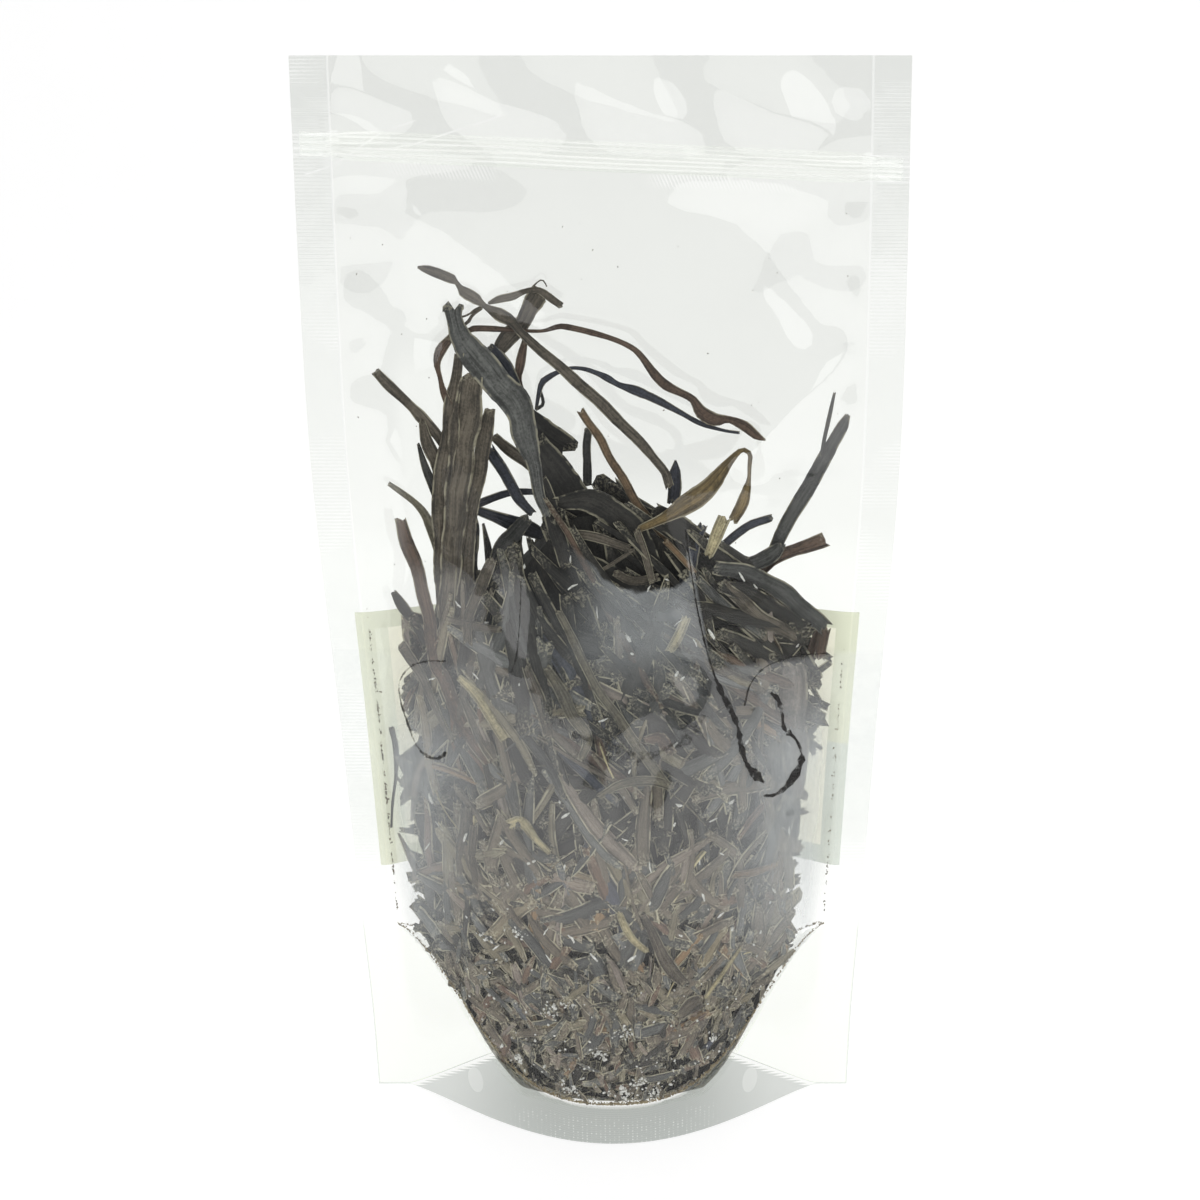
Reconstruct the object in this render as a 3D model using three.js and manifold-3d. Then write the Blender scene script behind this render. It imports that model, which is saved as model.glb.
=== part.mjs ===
// Dried sea spaghetti in a clear stand-up pouch, standing on its base gusset.
//
// The pouch is two flat films welded down both sides. A third film, the gusset, is folded
// between them at the foot and welded to each along a U-shaped line. Filled, the gusset
// opens into a boat-shaped base, the two films bulge, and the sides are drawn in.
// Below the U-shaped weld each film runs on to the table as a skirt. A press-to-close zip
// crosses the pouch near its open top edge, and a paper label is stuck to the back.
//
// Units are millimetres. +Z is up, -Y is the front and the origin is on the table under
// the middle of the pouch. A place on a film is given by s, its distance across the film
// from the middle when the pouch lies flat, and z, its height.

import * as THREE from 'three';
import { mergeVertices } from 'three/addons/utils/BufferGeometryUtils.js';
import Module from 'manifold-3d';

const wasm = await Module();
wasm.setup();

// ---- driving sizes ----------------------------------------------------------------

const FLAT_WIDTH = 130;
const HEIGHT = 235;
const SIDE_WELD = 8;
const WELD_THICKNESS = 0.7;
const GUSSET_FOLD = 40;
const SKIRT = 8.8;
const SKIRT_WALL = 0.8;
// sideways drift toward +X for each millimetre down, and the shift that keeps it centred
const LEAN = { slope: 0.0125, shift: -0.295 };

// how far one film stands out from the middle plane, at a few heights
const FULLNESS = [
  [0, 29], [20, 27.8], [40, 25.6], [88, 20], [110, 16.2], [132, 11.6],
  [153, 7], [175, 3.6], [200, 1.5], [HEIGHT, 0.9],
];

const ZIP = { height: 212.5, rise: -0.043, band: 9, thickness: 2.2, ridge: 0.45, ridges: 3,
  crushed: 0.25 };
// the share of the films' bulge that is left where the zip holds them together
const ZIP_HOLDS = 0.3;
const HEAP = { top: 128, lump: 0.8 };
const MOUTH_WAVE = { height: 1.1, pitch: 46 };
const LABEL = { halfWidth: 58.6, bottom: 54.7, top: 114.6, thickness: 0.4, gap: 0.5 };

const HALF = FLAT_WIDTH / 2;
const INNER = HALF - SIDE_WELD;

// dents and ridges of the films, each along a line from a to b in s and z
const FRONT_CREASES = [
  { a: [24, 205], b: [50, 178], depth: -1.6, width: 9 },
  { a: [52, 172], b: [30, 150], depth: 1.5, width: 5 },
  { a: [-48, 204], b: [-42, 176], depth: -1.3, width: 6 },
  { a: [-34, 200], b: [10, 168], depth: 1.2, width: 8 },
  { a: [-40, 96], b: [-34, 78], depth: -1.8, width: 6 },
  { a: [36, 98], b: [44, 74], depth: -1.8, width: 5 },
  { a: [10, 135], b: [28, 118], depth: 1.6, width: 9 },
];
const BACK_CREASES = [
  { a: [-30, 202], b: [-48, 170], depth: -1.5, width: 9 },
  { a: [38, 200], b: [8, 165], depth: 1.3, width: 8 },
  { a: [50, 148], b: [40, 122], depth: -1.2, width: 6 },
];

// ---- small helpers ----------------------------------------------------------------

const clamp01 = (t) => Math.min(1, Math.max(0, t));

const ease = (from, to, value) => {
  const t = clamp01((value - from) / (to - from));
  return t * t * (3 - 2 * t);
};

// smooth height through a short list of [place, value] stations
const through = (stations, place) => {
  const last = stations.length - 1;
  if (place <= stations[0][0]) return stations[0][1];
  if (place >= stations[last][0]) return stations[last][1];
  const k = stations.findIndex(([at]) => at > place) - 1;
  const slope = (i) => {
    const a = stations[Math.max(0, i - 1)];
    const b = stations[Math.min(last, i + 1)];
    return (b[1] - a[1]) / (b[0] - a[0]);
  };
  const [[x0, y0], [x1, y1]] = [stations[k], stations[k + 1]];
  const span = x1 - x0;
  const t = (place - x0) / span;
  return (
    y0 * (1 + 2 * t) * (1 - t) ** 2 + slope(k) * span * t * (1 - t) ** 2 +
    y1 * t * t * (3 - 2 * t) - slope(k + 1) * span * t * t * (1 - t)
  );
};

const evenly = (from, to, steps) =>
  Array.from({ length: steps + 1 }, (_, i) => from + ((to - from) * i) / steps);

// ---- the form of the filled pouch -------------------------------------------------

const fullness = (z) => through(FULLNESS, z);

// the film keeps its flat width, so the more it bulges the more its sides are drawn in
const DRAW_IN = 0.012;
const halfWidth = (z) => HALF - DRAW_IN * fullness(z) ** 2;

// the bulge across the film: flat at the welds and rounded between them
const acrossBulge = (s, z) => {
  const u = Math.min(1, Math.abs(s) / INNER);
  return (1 - u * u) ** (1.34 - 0.14 * ease(10, 70, z));
};

// the U-shaped weld between film and gusset: low in the middle, at the fold by the sides
const weldLine = (s) => {
  const u = Math.min(1, Math.abs(s) / INNER);
  return SKIRT + (GUSSET_FOLD - SKIRT) * Math.sin((Math.PI / 2) * u ** 1.75) ** 2;
};

const creaseHeight = (creases, s, z) =>
  creases.reduce((sum, { a, b, depth, width }) => {
    const [ds, dz] = [b[0] - a[0], b[1] - a[1]];
    const t = clamp01(((s - a[0]) * ds + (z - a[1]) * dz) / (ds * ds + dz * dz));
    const off = Math.hypot(s - a[0] - t * ds, z - a[1] - t * dz);
    return sum + depth * Math.exp(-((off / width) ** 2));
  }, 0);

// the heap of strips presses soft lumps into the film
const lumps = (side, s, z) => {
  const turn = side < 0 ? 0.4 : 2.1;
  const wave =
    Math.sin(s / 5.1 + z / 9.3 + turn) * Math.sin(z / 6.1 - s / 8.7 + 2 * turn) +
    0.7 * Math.sin(s / 7.3 - z / 4.6 + 3 * turn) * Math.sin(s / 4.3 + z / 13 + turn);
  const inHeap = ease(weldLine(s), weldLine(s) + 14, z) * (1 - ease(HEAP.top - 40, HEAP.top, z));
  const underLabel = side < 0 ? 1 : 0.4;
  return underLabel * HEAP.lump * wave * inHeap * (1 - ease(INNER - 16, INNER - 4, Math.abs(s)));
};

// the zip: two ribbed strips pressed together, crushed flat inside the side welds
const zipHeight = (s, z0) => {
  const off = z0 - ZIP.height;
  if (Math.abs(off) > ZIP.band / 2 + 0.01) return 0;
  const open = 1 - ease(INNER - 3, INNER + 2, Math.abs(s));
  const rib = ZIP.ridge * Math.cos((2 * Math.PI * ZIP.ridges * off) / ZIP.band);
  return (open * (ZIP.thickness + rib)) / 2 + (1 - open) * ZIP.crushed;
};

// above the zip the films part and lie in loose waves
const mouth = (side, s, z) => {
  const k = (2 * Math.PI) / MOUTH_WAVE.pitch;
  const wave = 1 + Math.sin(k * s * (side < 0 ? 1 : 0.8) + side + (z - ZIP.height) / 9);
  const above = ease(ZIP.height + 5, ZIP.height + 12, z) * (1 - 0.7 * ease(HEIGHT - 8, HEIGHT, z));
  return MOUTH_WAVE.height * wave * above * (1 - ease(INNER - 10, INNER, Math.abs(s)));
};

// the zip lies a little out of square, and the rows of points near it follow it
const rowHeight = (s, z0) => {
  const near = ease(ZIP.height - 45, ZIP.height - 8, z0) *
    (1 - ease(ZIP.height + 8, HEIGHT - 1, z0));
  return z0 + ZIP.rise * s * near;
};

// how far film side (-1 the front, 1 the back) stands from the middle plane, where z0 is
// the height of the point's row before the zip's slant
const filmDepth = (side, s, z, z0) => {
  const creases = side < 0 ? FRONT_CREASES : BACK_CREASES;
  const loose = 1 - ease(INNER - 12, INNER, Math.abs(s));
  const belowZip = 1 - ease(ZIP.height - 16, ZIP.height - 6, z0);
  const relief = creaseHeight(creases, s, z) * loose * belowZip + lumps(side, s, z);
  const bulge = Math.max(0, fullness(z) * acrossBulge(s, z) + relief);
  const zip = zipHeight(s, z0);
  const film = zip > 0 ? ZIP_HOLDS * bulge : bulge + mouth(side, s, z0);
  return WELD_THICKNESS / 2 + Math.max(film, zip);
};

const filmPoint = (side, s, z0) => {
  const z = rowHeight(s, z0);
  const x = (s * halfWidth(z)) / HALF + LEAN.slope * (HEIGHT - z) + LEAN.shift;
  return [x, side * filmDepth(side, s, z, z0), z];
};

// the gusset hangs in the arc that its folded length allows between the two weld lines,
// and where it would hang lower than the table it rests on it
const gussetSag = (s) => {
  const chord = 2 * (fullness(0) * acrossBulge(s, 0));
  const length = 2 * (GUSSET_FOLD - weldLine(s));
  const hang = chord * Math.sqrt(0.375 * Math.max(0.02, length / chord - 1));
  return Math.min(hang, weldLine(s) + 0.6);
};

// ---- meshes -----------------------------------------------------------------------

// a closed tube of loops of points, one loop after another, with a flat cap at each end
const loftGeometry = (loops) => {
  const n = loops[0].length;
  const places = loops.flat(2);
  const faces = [];
  for (let i = 0; i < loops.length - 1; i += 1) {
    for (let j = 0; j < n; j += 1) {
      const [a, b] = [i * n + j, i * n + ((j + 1) % n)];
      faces.push(a, b, b + n, a, b + n, a + n);
    }
  }
  // each loop runs up one side and down the other, so a cap is a ladder between the two
  const cap = (at, turn) => {
    for (let j = 0; j < Math.floor((n - 1) / 2); j += 1) {
      const [a, b, c, d] = [j, j + 1, n - 2 - j, n - 1 - j].map((i) => at * n + i);
      const rung = b === c ? [[a, b, d]] : [[a, b, d], [b, c, d]];
      for (const [p, q, r] of rung) faces.push(p, turn ? r : q, turn ? q : r);
    }
  };
  cap(0, true);
  cap(loops.length - 1, false);
  const geometry = new THREE.BufferGeometry();
  geometry.setAttribute('position', new THREE.Float32BufferAttribute(places, 3));
  geometry.setIndex(faces);
  return geometry;
};

const toManifold = (geometry) => {
  const clean = mergeVertices(geometry, 1e-5);
  const make = (triVerts) => new wasm.Manifold(new wasm.Mesh({
    numProp: 3,
    vertProperties: new Float32Array(clean.attributes.position.array),
    triVerts,
  }));
  const solid = make(new Uint32Array(clean.index.array));
  if (solid.volume() > 0) return solid;
  return make(new Uint32Array(clean.index.array).reverse());
};

const fromManifold = (solid) => {
  const { vertProperties, triVerts, numProp } = solid.getMesh();
  if (numProp !== 3) throw new Error('a cut solid should hold positions alone');
  const geometry = new THREE.BufferGeometry();
  geometry.setAttribute('position', new THREE.BufferAttribute(new Float32Array(vertProperties), 3));
  geometry.setIndex(new THREE.BufferAttribute(new Uint32Array(triVerts), 1));
  return geometry;
};

const COLUMNS = [
  -HALF, -HALF + SIDE_WELD / 2, ...evenly(-INNER, INNER, 26), HALF - SIDE_WELD / 2, HALF,
];
const ROWS = [
  ...evenly(0, 12, 3), ...evenly(17, GUSSET_FOLD, 4), ...evenly(46, 201, 27),
  ...evenly(ZIP.height - ZIP.band / 2, ZIP.height + ZIP.band / 2, 12),
  ...evenly(221, HEIGHT, 3),
];

// the outer form, as a loop of points up the front and down the back at each column
const outerForm = () => toManifold(loftGeometry(COLUMNS.map((s) => [
  ...ROWS.map((z0) => filmPoint(-1, s, z0)),
  ...ROWS.toReversed().map((z0) => filmPoint(1, s, z0)),
])));

// the open space under the gusset, between the two skirts
const footHollow = () => {
  const below = -2;
  const wallSteps = 5;
  const gussetSteps = 10;
  const inside = COLUMNS.filter((s) => Math.abs(s) < INNER - 4);
  return toManifold(loftGeometry(inside.map((s) => {
    const top = weldLine(s);
    const wall = (side) => evenly(0, top, wallSteps).map((z) => {
      const [x, y] = filmPoint(side, s, z);
      return [x, y - side * SKIRT_WALL, z];
    });
    const front = wall(-1);
    const back = wall(1);
    const [from, to] = [front[wallSteps], back[wallSteps]];
    const roof = evenly(0, 1, gussetSteps).slice(1, -1).map((t) => [
      from[0], from[1] + (to[1] - from[1]) * t, top - gussetSag(s) * 4 * t * (1 - t),
    ]);
    const lowest = Math.min(below, ...roof.map(([, , z]) => z - 1));
    const lowered = ([x, y]) => [x, y, lowest];
    return [lowered(front[0]), ...front, ...roof, ...back.toReversed(), lowered(back[0])];
  })));
};

const pouchGeometry = () => fromManifold(outerForm().subtract(footHollow()));

// the label follows the back film on the pouch's own columns, a paper's thickness deep
const labelGeometry = () => {
  const across = COLUMNS.filter((s) => Math.abs(s) < LABEL.halfWidth);
  const columns = [-LABEL.halfWidth, ...across, LABEL.halfWidth];
  const rows = [LABEL.bottom, ...ROWS.filter((z) => z > LABEL.bottom && z < LABEL.top), LABEL.top];
  const at = (s, z0, lift) => {
    const [x, y, z] = filmPoint(1, s, z0);
    const acrossSlope = (filmPoint(1, s + 1, z0)[1] - filmPoint(1, s - 1, z0)[1]) / 2;
    const upSlope = (filmPoint(1, s, z0 + 1)[1] - filmPoint(1, s, z0 - 1)[1]) / 2;
    return [x, y + (LABEL.gap + lift) * Math.hypot(1, acrossSlope, upSlope), z];
  };
  return fromManifold(toManifold(loftGeometry(columns.map((s) => [
    ...rows.map((z0) => at(s, z0, 0)),
    ...rows.toReversed().map((z0) => at(s, z0, LABEL.thickness)),
  ]))));
};

// ---- the object -------------------------------------------------------------------

const piece = (name, geometry, material) => {
  const mesh = new THREE.Mesh(geometry, material);
  mesh.name = name;
  return mesh;
};

const clearFilm = new THREE.MeshStandardMaterial({
  color: 0xe9ece6, roughness: 0.12, metalness: 0, transparent: true, opacity: 0.35,
});
const paper = new THREE.MeshStandardMaterial({ color: 0xcfd3bd, roughness: 0.7, metalness: 0 });

const object = new THREE.Group();
object.add(piece('pouch', pouchGeometry(), clearFilm));
object.add(piece('label', labelGeometry(), paper));

export default object;
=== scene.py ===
# %% [markdown]
# # Dried sea spaghetti in a clear stand-up pouch
#
# The real thing is a thin clear pouch, standing on a folded base, with a press-to-close
# zip near its top and a paper label on its back. It is two thirds full of dried seaweed:
# long flat strips and round stems on top, shorter broken bits below, crumbs at the foot.
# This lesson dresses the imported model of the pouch. The solid is hidden, and in its place
# come the film, the zip, the label and every strip, all in the same frame.

import math

import bmesh
import bpy
import numpy as np
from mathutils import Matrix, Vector


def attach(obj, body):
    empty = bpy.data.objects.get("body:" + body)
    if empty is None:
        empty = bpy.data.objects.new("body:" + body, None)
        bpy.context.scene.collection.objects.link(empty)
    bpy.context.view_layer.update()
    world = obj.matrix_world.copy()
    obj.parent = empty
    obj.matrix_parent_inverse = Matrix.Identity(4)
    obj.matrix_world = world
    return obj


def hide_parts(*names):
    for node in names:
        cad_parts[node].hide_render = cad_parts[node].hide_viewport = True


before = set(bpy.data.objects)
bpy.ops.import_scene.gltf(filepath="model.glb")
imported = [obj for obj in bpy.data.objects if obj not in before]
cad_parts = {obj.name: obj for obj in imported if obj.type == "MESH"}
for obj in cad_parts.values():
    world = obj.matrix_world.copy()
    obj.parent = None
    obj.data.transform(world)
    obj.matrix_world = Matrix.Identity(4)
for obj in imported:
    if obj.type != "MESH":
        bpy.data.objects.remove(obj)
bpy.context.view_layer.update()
MM = 0.001

# %% [markdown]
# ## The camera and the light
#
# The photo looks down on the pouch by about fifteen degrees from half a metre away, which
# a 69 mm lens on a full-size sensor frames as the photo does. Clear film shows mostly what
# it reflects, so the room matters: a white table that the lower film mirrors, a white
# sheet behind, a dim room above, and two large soft lights that draw the pale shapes on
# the upper film. The room is dim for the film only: looked at past the table, it is as
# pale as the sheet.

# %% Camera
CAMERA_TILT = math.radians(15)
CAMERA_DISTANCE = 510 * MM
CAMERA_AIM = Vector((-0.36 * MM, 0, 117.5 * MM))
SENSOR = 36.0
LENS = 69.06

camera = bpy.data.objects.new("camera", bpy.data.cameras.new("camera"))
camera.data.sensor_width = SENSOR
camera.data.lens = LENS
camera.data.clip_start = 0.01
back_off = Vector((0, -math.cos(CAMERA_TILT), math.sin(CAMERA_TILT)))
camera.location = CAMERA_AIM + CAMERA_DISTANCE * back_off
camera.rotation_euler = (math.pi / 2 - CAMERA_TILT, 0, 0)
bpy.context.scene.collection.objects.link(camera)
bpy.context.scene.camera = camera
bpy.context.scene.view_settings.view_transform = "Standard"
print("camera at", [round(c, 3) for c in camera.location])

# %% [markdown]
# ## A short way to write materials
#
# A material is a small program made of nodes. Wrapping a node's output in a class with
# the usual operators lets the maths be written as maths, so that `1 - mask` adds a
# subtract node by itself. Every other node is made by one method.


# %% Shader helpers
class Value:
    """The output of a node, which can be added, multiplied and compared with a number."""

    def __init__(self, finish, socket):
        self.finish = finish
        self.socket = socket

    def _maths(self, operation, *others):
        return self.finish.node("ShaderNodeMath", {"operation": operation}, dict(enumerate(others)))

    def __add__(self, other):
        return self._maths("ADD", self, other)

    def __sub__(self, other):
        return self._maths("SUBTRACT", self, other)

    def __rsub__(self, other):
        return self._maths("SUBTRACT", other, self)

    def __mul__(self, other):
        return self._maths("MULTIPLY", self, other)

    def __truediv__(self, other):
        return self._maths("DIVIDE", self, other)

    def __pow__(self, other):
        return self._maths("POWER", self, other)

    def __lt__(self, other):
        return self._maths("LESS_THAN", self, other)

    def __abs__(self):
        return self._maths("ABSOLUTE", self)

    __radd__ = __add__
    __rmul__ = __mul__

    def sine(self):
        return self._maths("SINE", self)

    def smallest(self, other):
        return self._maths("MINIMUM", self, other)

    def largest(self, other):
        return self._maths("MAXIMUM", self, other)

    def between(self, low, high):
        """0 where this is at low, 1 where it is at high, eased in between."""
        settings = {"interpolation_type": "SMOOTHSTEP"}
        sockets = {"Value": self, "From Min": low, "From Max": high}
        return self.finish.node("ShaderNodeMapRange", settings, sockets)


class Finish:
    """A material and its node tree."""

    def __init__(self, name):
        self.material = bpy.data.materials.new(name)
        self.material.use_nodes = True
        self.tree = self.material.node_tree
        self.tree.nodes.clear()

    def node(self, kind, settings=None, sockets=None, out=0):
        made = self.tree.nodes.new(kind)
        for name, value in (settings or {}).items():
            if name == "stops":
                for stop, (place, colour) in zip(self._stops(made, len(value)), value):
                    stop.position = place
                    stop.color = (*colour, 1)
            else:
                setattr(made, name, value)
        for name, value in (sockets or {}).items():
            if isinstance(value, Value):
                self.tree.links.new(value.socket, made.inputs[name])
            else:
                made.inputs[name].default_value = value
        return Value(self, made.outputs[out])

    def _stops(self, ramp, count):
        while len(ramp.color_ramp.elements) < count:
            ramp.color_ramp.elements.new(1.0)
        return ramp.color_ramp.elements

    def place(self):
        """Where the surface is, in metres."""
        return self.node("ShaderNodeTexCoord", out="Object")

    def split(self, vector):
        return [self.node("ShaderNodeSeparateXYZ", {}, {0: vector}, out=k) for k in range(3)]

    def stretched(self, vector, scale):
        return self.node("ShaderNodeMapping", {}, {"Vector": vector, "Scale": scale})

    def noise(self, where, scale, detail=3.0, roughness=0.5, distortion=0.0):
        sockets = {"Vector": where, "Scale": scale, "Detail": detail, "Roughness": roughness}
        return self.node("ShaderNodeTexNoise", {}, {**sockets, "Distortion": distortion})

    def ramp(self, value, stops):
        return self.node("ShaderNodeValToRGB", {"stops": stops}, {"Fac": value})

    def mixed(self, amount, first, second):
        """Colour first, turning to colour second as amount goes from 0 to 1."""
        first = first if isinstance(first, Value) else (*first, 1)
        second = second if isinstance(second, Value) else (*second, 1)
        sockets = {0: amount, 6: first, 7: second}
        return self.node("ShaderNodeMix", {"data_type": "RGBA"}, sockets, out=2)

    def bump(self, height, distance, strength=1.0):
        sockets = {"Height": height, "Distance": distance, "Strength": strength}
        return self.node("ShaderNodeBump", {}, sockets)

    def on_flat(self, flat_metres):
        """The place on the flat pouch, across and up, in millimetres."""
        return self.split(self.stretched(flat_metres, (1000, 1000, 1)))[:2]

    def stored(self, name):
        """A number kept for each point of the mesh."""
        return self.node("ShaderNodeAttribute", {"attribute_name": name}, out=2)

    def principled(self, sockets):
        return self.node("ShaderNodeBsdfPrincipled", {}, sockets)

    def see_through(self, *colour):
        return self.node("ShaderNodeBsdfTransparent", {}, {"Color": (*colour, 1)})

    def blend(self, amount, first, second):
        """Shader first, turning to shader second as amount goes from 0 to 1."""
        return self.node("ShaderNodeMixShader", {}, {0: amount, 1: first, 2: second})

    def surface(self, shader):
        out = self.tree.nodes.new("ShaderNodeOutputMaterial")
        self.tree.links.new(shader.socket, out.inputs["Surface"])
        return self.material


# %% [markdown]
# ## Floor, backdrop and lights
#
# The floor and the sheet behind it are one sweep of white board with a round bend, as in
# a small photo studio, so no line shows where the table ends.

# %% Floor
FLOOR_FRONT = 2500 * MM
FLOOR_BACK = 600 * MM
FLOOR_WIDTH = 5000 * MM
SWEEP_RADIUS = 400 * MM
SWEEP_HEIGHT = 1100 * MM
BOARD_GLOW = 0.77


def deselect_all():
    if bpy.context.mode != "OBJECT":
        bpy.ops.object.mode_set(mode="OBJECT")
    bpy.ops.object.select_all(action="DESELECT")


def white_board():
    finish = Finish("white_board")
    speckle = finish.noise(finish.place(), 40.0, 4.0)
    colour = finish.mixed(speckle, (0.35, 0.35, 0.348), (0.37, 0.37, 0.368))
    upright = finish.split(finish.place())[1].between(FLOOR_BACK - 120 * MM, FLOOR_BACK)
    glow = finish.mixed(upright, (1, 1, 1), (0.91, 0.91, 0.91))
    return finish.surface(finish.principled({
        "Base Color": colour, "Roughness": 0.7,
        "Emission Color": glow, "Emission Strength": BOARD_GLOW}))


deselect_all()
bpy.ops.mesh.primitive_plane_add(size=1)
floor = bpy.context.object
floor.name = "floor"
floor.scale = (FLOOR_WIDTH, FLOOR_FRONT + FLOOR_BACK, 1)
floor.location = (0, (FLOOR_BACK - FLOOR_FRONT) / 2, 0)
bpy.ops.object.transform_apply(location=True, scale=True)
bpy.ops.object.mode_set(mode="EDIT")
bpy.ops.mesh.select_all(action="DESELECT")
sheet = bmesh.from_edit_mesh(floor.data)
for edge in sheet.edges:
    edge.select_set(all(v.co.y > FLOOR_BACK - MM for v in edge.verts))
bmesh.update_edit_mesh(floor.data)
bpy.ops.mesh.spin(steps=16, angle=-math.pi / 2, center=(0, FLOOR_BACK, SWEEP_RADIUS), axis=(1, 0, 0))
bpy.ops.mesh.extrude_region_move(TRANSFORM_OT_translate={"value": (0, 0, SWEEP_HEIGHT)})
bpy.ops.mesh.select_all(action="SELECT")
bpy.ops.mesh.normals_make_consistent(inside=False)
bpy.ops.object.mode_set(mode="OBJECT")
bpy.ops.object.shade_smooth()
floor.data.materials.append(white_board())
print("floor reaches", [round(c, 2) for c in floor.dimensions])


# %% Lights
def soft_light(name, at, aim, size, power):
    lamp = bpy.data.lights.new(name, "AREA")
    lamp.shape = "RECTANGLE"
    lamp.size, lamp.size_y = size
    lamp.energy = power
    holder = bpy.data.objects.new(name, lamp)
    holder.location = at
    holder.rotation_euler = (Vector(aim) - Vector(at)).to_track_quat("-Z", "Y").to_euler()
    bpy.context.scene.collection.objects.link(holder)


ROOM_LIGHT = 0.12  # what lights the pouch, and what its film mirrors
BACKDROP_LIGHT = 0.92  # what the camera sees past the board
world = bpy.data.worlds.new("room")
world.use_nodes = True
nodes, links = world.node_tree.nodes, world.node_tree.links
room = nodes["Background"]
room.inputs["Color"].default_value = (0.96, 0.98, 1.0, 1)
room.inputs["Strength"].default_value = ROOM_LIGHT
backdrop = nodes.new("ShaderNodeBackground")
backdrop.inputs["Strength"].default_value = BACKDROP_LIGHT
seen = nodes.new("ShaderNodeLightPath")
either = nodes.new("ShaderNodeMixShader")
links.new(seen.outputs["Is Camera Ray"], either.inputs[0])
links.new(room.outputs[0], either.inputs[1])
links.new(backdrop.outputs[0], either.inputs[2])
links.new(either.outputs[0], nodes["World Output"].inputs["Surface"])
bpy.context.scene.world = world

soft_light("over", (0.1, -0.1, 1.3), (0.05, -0.1, 0), (2.2, 1.6), 12)
soft_light("left", (-1.15, -1.1, 0.72), (0, 0, 0.14), (1.5, 1.2), 5.6)
soft_light("right", (1.15, -1.1, 0.72), (0, 0, 0.14), (1.5, 1.2), 5.6)

# %% [markdown]
# ## The form of the filled pouch
#
# Lying flat, the pouch is 130 by 235 mm. Filled, its two films bulge, and because film
# doesn't stretch, the sides are drawn in by as much as the bulge takes up. A place on a
# film is named by `s`, its distance across the flat film from the middle, and `z`, its
# height. The functions below turn such a place into a point in the world, with the same
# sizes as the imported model. They take whole arrays at once, so that thousands of points
# cost no more than a few.

# %% Sizes of the pouch, in millimetres
FLAT_WIDTH = 130.0
HEIGHT = 235.0
SIDE_WELD = 8.0
GUSSET_FOLD = 40.0
SKIRT = 8.8
HALF = FLAT_WIDTH / 2
INNER = HALF - SIDE_WELD
DRAW_IN = 0.012
LEAN_SLOPE = 0.0125
LEAN_SHIFT = -0.295
FULLNESS = [(0, 29), (20, 27.8), (40, 25.6), (88, 20), (110, 16.2), (132, 11.6),
            (153, 7), (175, 3.6), (200, 1.5), (HEIGHT, 0.9)]
FRONT, BACK = -1, 1


def ease(low, high, value):
    t = np.clip((value - low) / (high - low), 0, 1)
    return t * t * (3 - 2 * t)


def through(stations, place):
    """A smooth curve through a short list of (place, value) stations."""
    at, value = (np.array(column, float) for column in zip(*stations))
    slope = np.gradient(value)
    slope[1:-1] = (value[2:] - value[:-2]) / (at[2:] - at[:-2])
    slope[0] = (value[1] - value[0]) / (at[1] - at[0])
    slope[-1] = (value[-1] - value[-2]) / (at[-1] - at[-2])
    place = np.clip(place, at[0], at[-1])
    k = np.clip(np.searchsorted(at, place, side="right") - 1, 0, len(at) - 2)
    span = at[k + 1] - at[k]
    t = (place - at[k]) / span
    return (value[k] * (1 + 2 * t) * (1 - t) ** 2 + slope[k] * span * t * (1 - t) ** 2
            + value[k + 1] * t * t * (3 - 2 * t) - slope[k + 1] * span * t * t * (1 - t))


def fullness(z):
    return through(FULLNESS, z)


def half_width(z):
    return HALF - DRAW_IN * fullness(z) ** 2


def drawn_in(s, z):
    """The x of a place: the sides are drawn in, and the whole pouch leans a little."""
    return s * half_width(z) / HALF + LEAN_SLOPE * (HEIGHT - z) + LEAN_SHIFT


def across_bulge(s, z):
    u = np.minimum(1, np.abs(s) / INNER)
    return (1 - u * u) ** (1.34 - 0.14 * ease(10, 70, z))


def weld_line(s):
    """Height of the U-shaped weld between film and gusset."""
    u = np.minimum(1, np.abs(s) / INNER)
    return SKIRT + (GUSSET_FOLD - SKIRT) * np.sin(np.pi / 2 * u ** 1.75) ** 2


print("bulge at the foot and the waist:", round(float(fullness(0)), 1), round(float(fullness(110)), 1))

# %% [markdown]
# ## Folds and dents of the film
#
# Stiff clear film doesn't bulge like a balloon. Below the zip it breaks into flat
# facets, which slope from the middle to the side welds and meet the front in a crisp
# line; along the welds it puckers; over the heap it is pushed out in soft lumps; and
# above the zip it lies in loose waves. Each of these is a small height that is added to
# the bulge, because the film's reflections show every tenth of a millimetre.

# %% Relief of the film
FRONT_CREASES = [  # from, to, height, half width
    ((24, 205), (50, 178), -1.2, 7), ((52, 172), (31, 152), 1.5, 4), ((-48, 204), (-42, 176), -1.0, 6),
    ((-34, 200), (10, 172), 0.8, 8), ((-40, 96), (-34, 78), -1.2, 6), ((36, 98), (44, 74), -1.4, 5),
    ((10, 135), (28, 118), 1.2, 9), ((46, 204), (44, 198), -1.0, 4), ((-46, 150), (-38, 128), 0.8, 5),
]
BACK_CREASES = [
    ((-30, 202), (-48, 170), -1.5, 9), ((38, 200), (8, 165), 1.3, 8), ((50, 148), (40, 122), -1.2, 6),
    ((-40, 140), (-20, 126), 1.0, 6),
]
SHOULDER_TOP = {FRONT: (-32, 24), BACK: (-26, 30)}  # where the facets' creases meet the zip
SHOULDER_SPREAD = 0.88  # how far a crease runs out for each millimetre down
ZIP_HEIGHT = 214.2
ZIP_SLOPE = -0.043
ZIP_BAND = 6.2
ZIP_HALF = 0.9  # half the thickness of the closed zip


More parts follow.
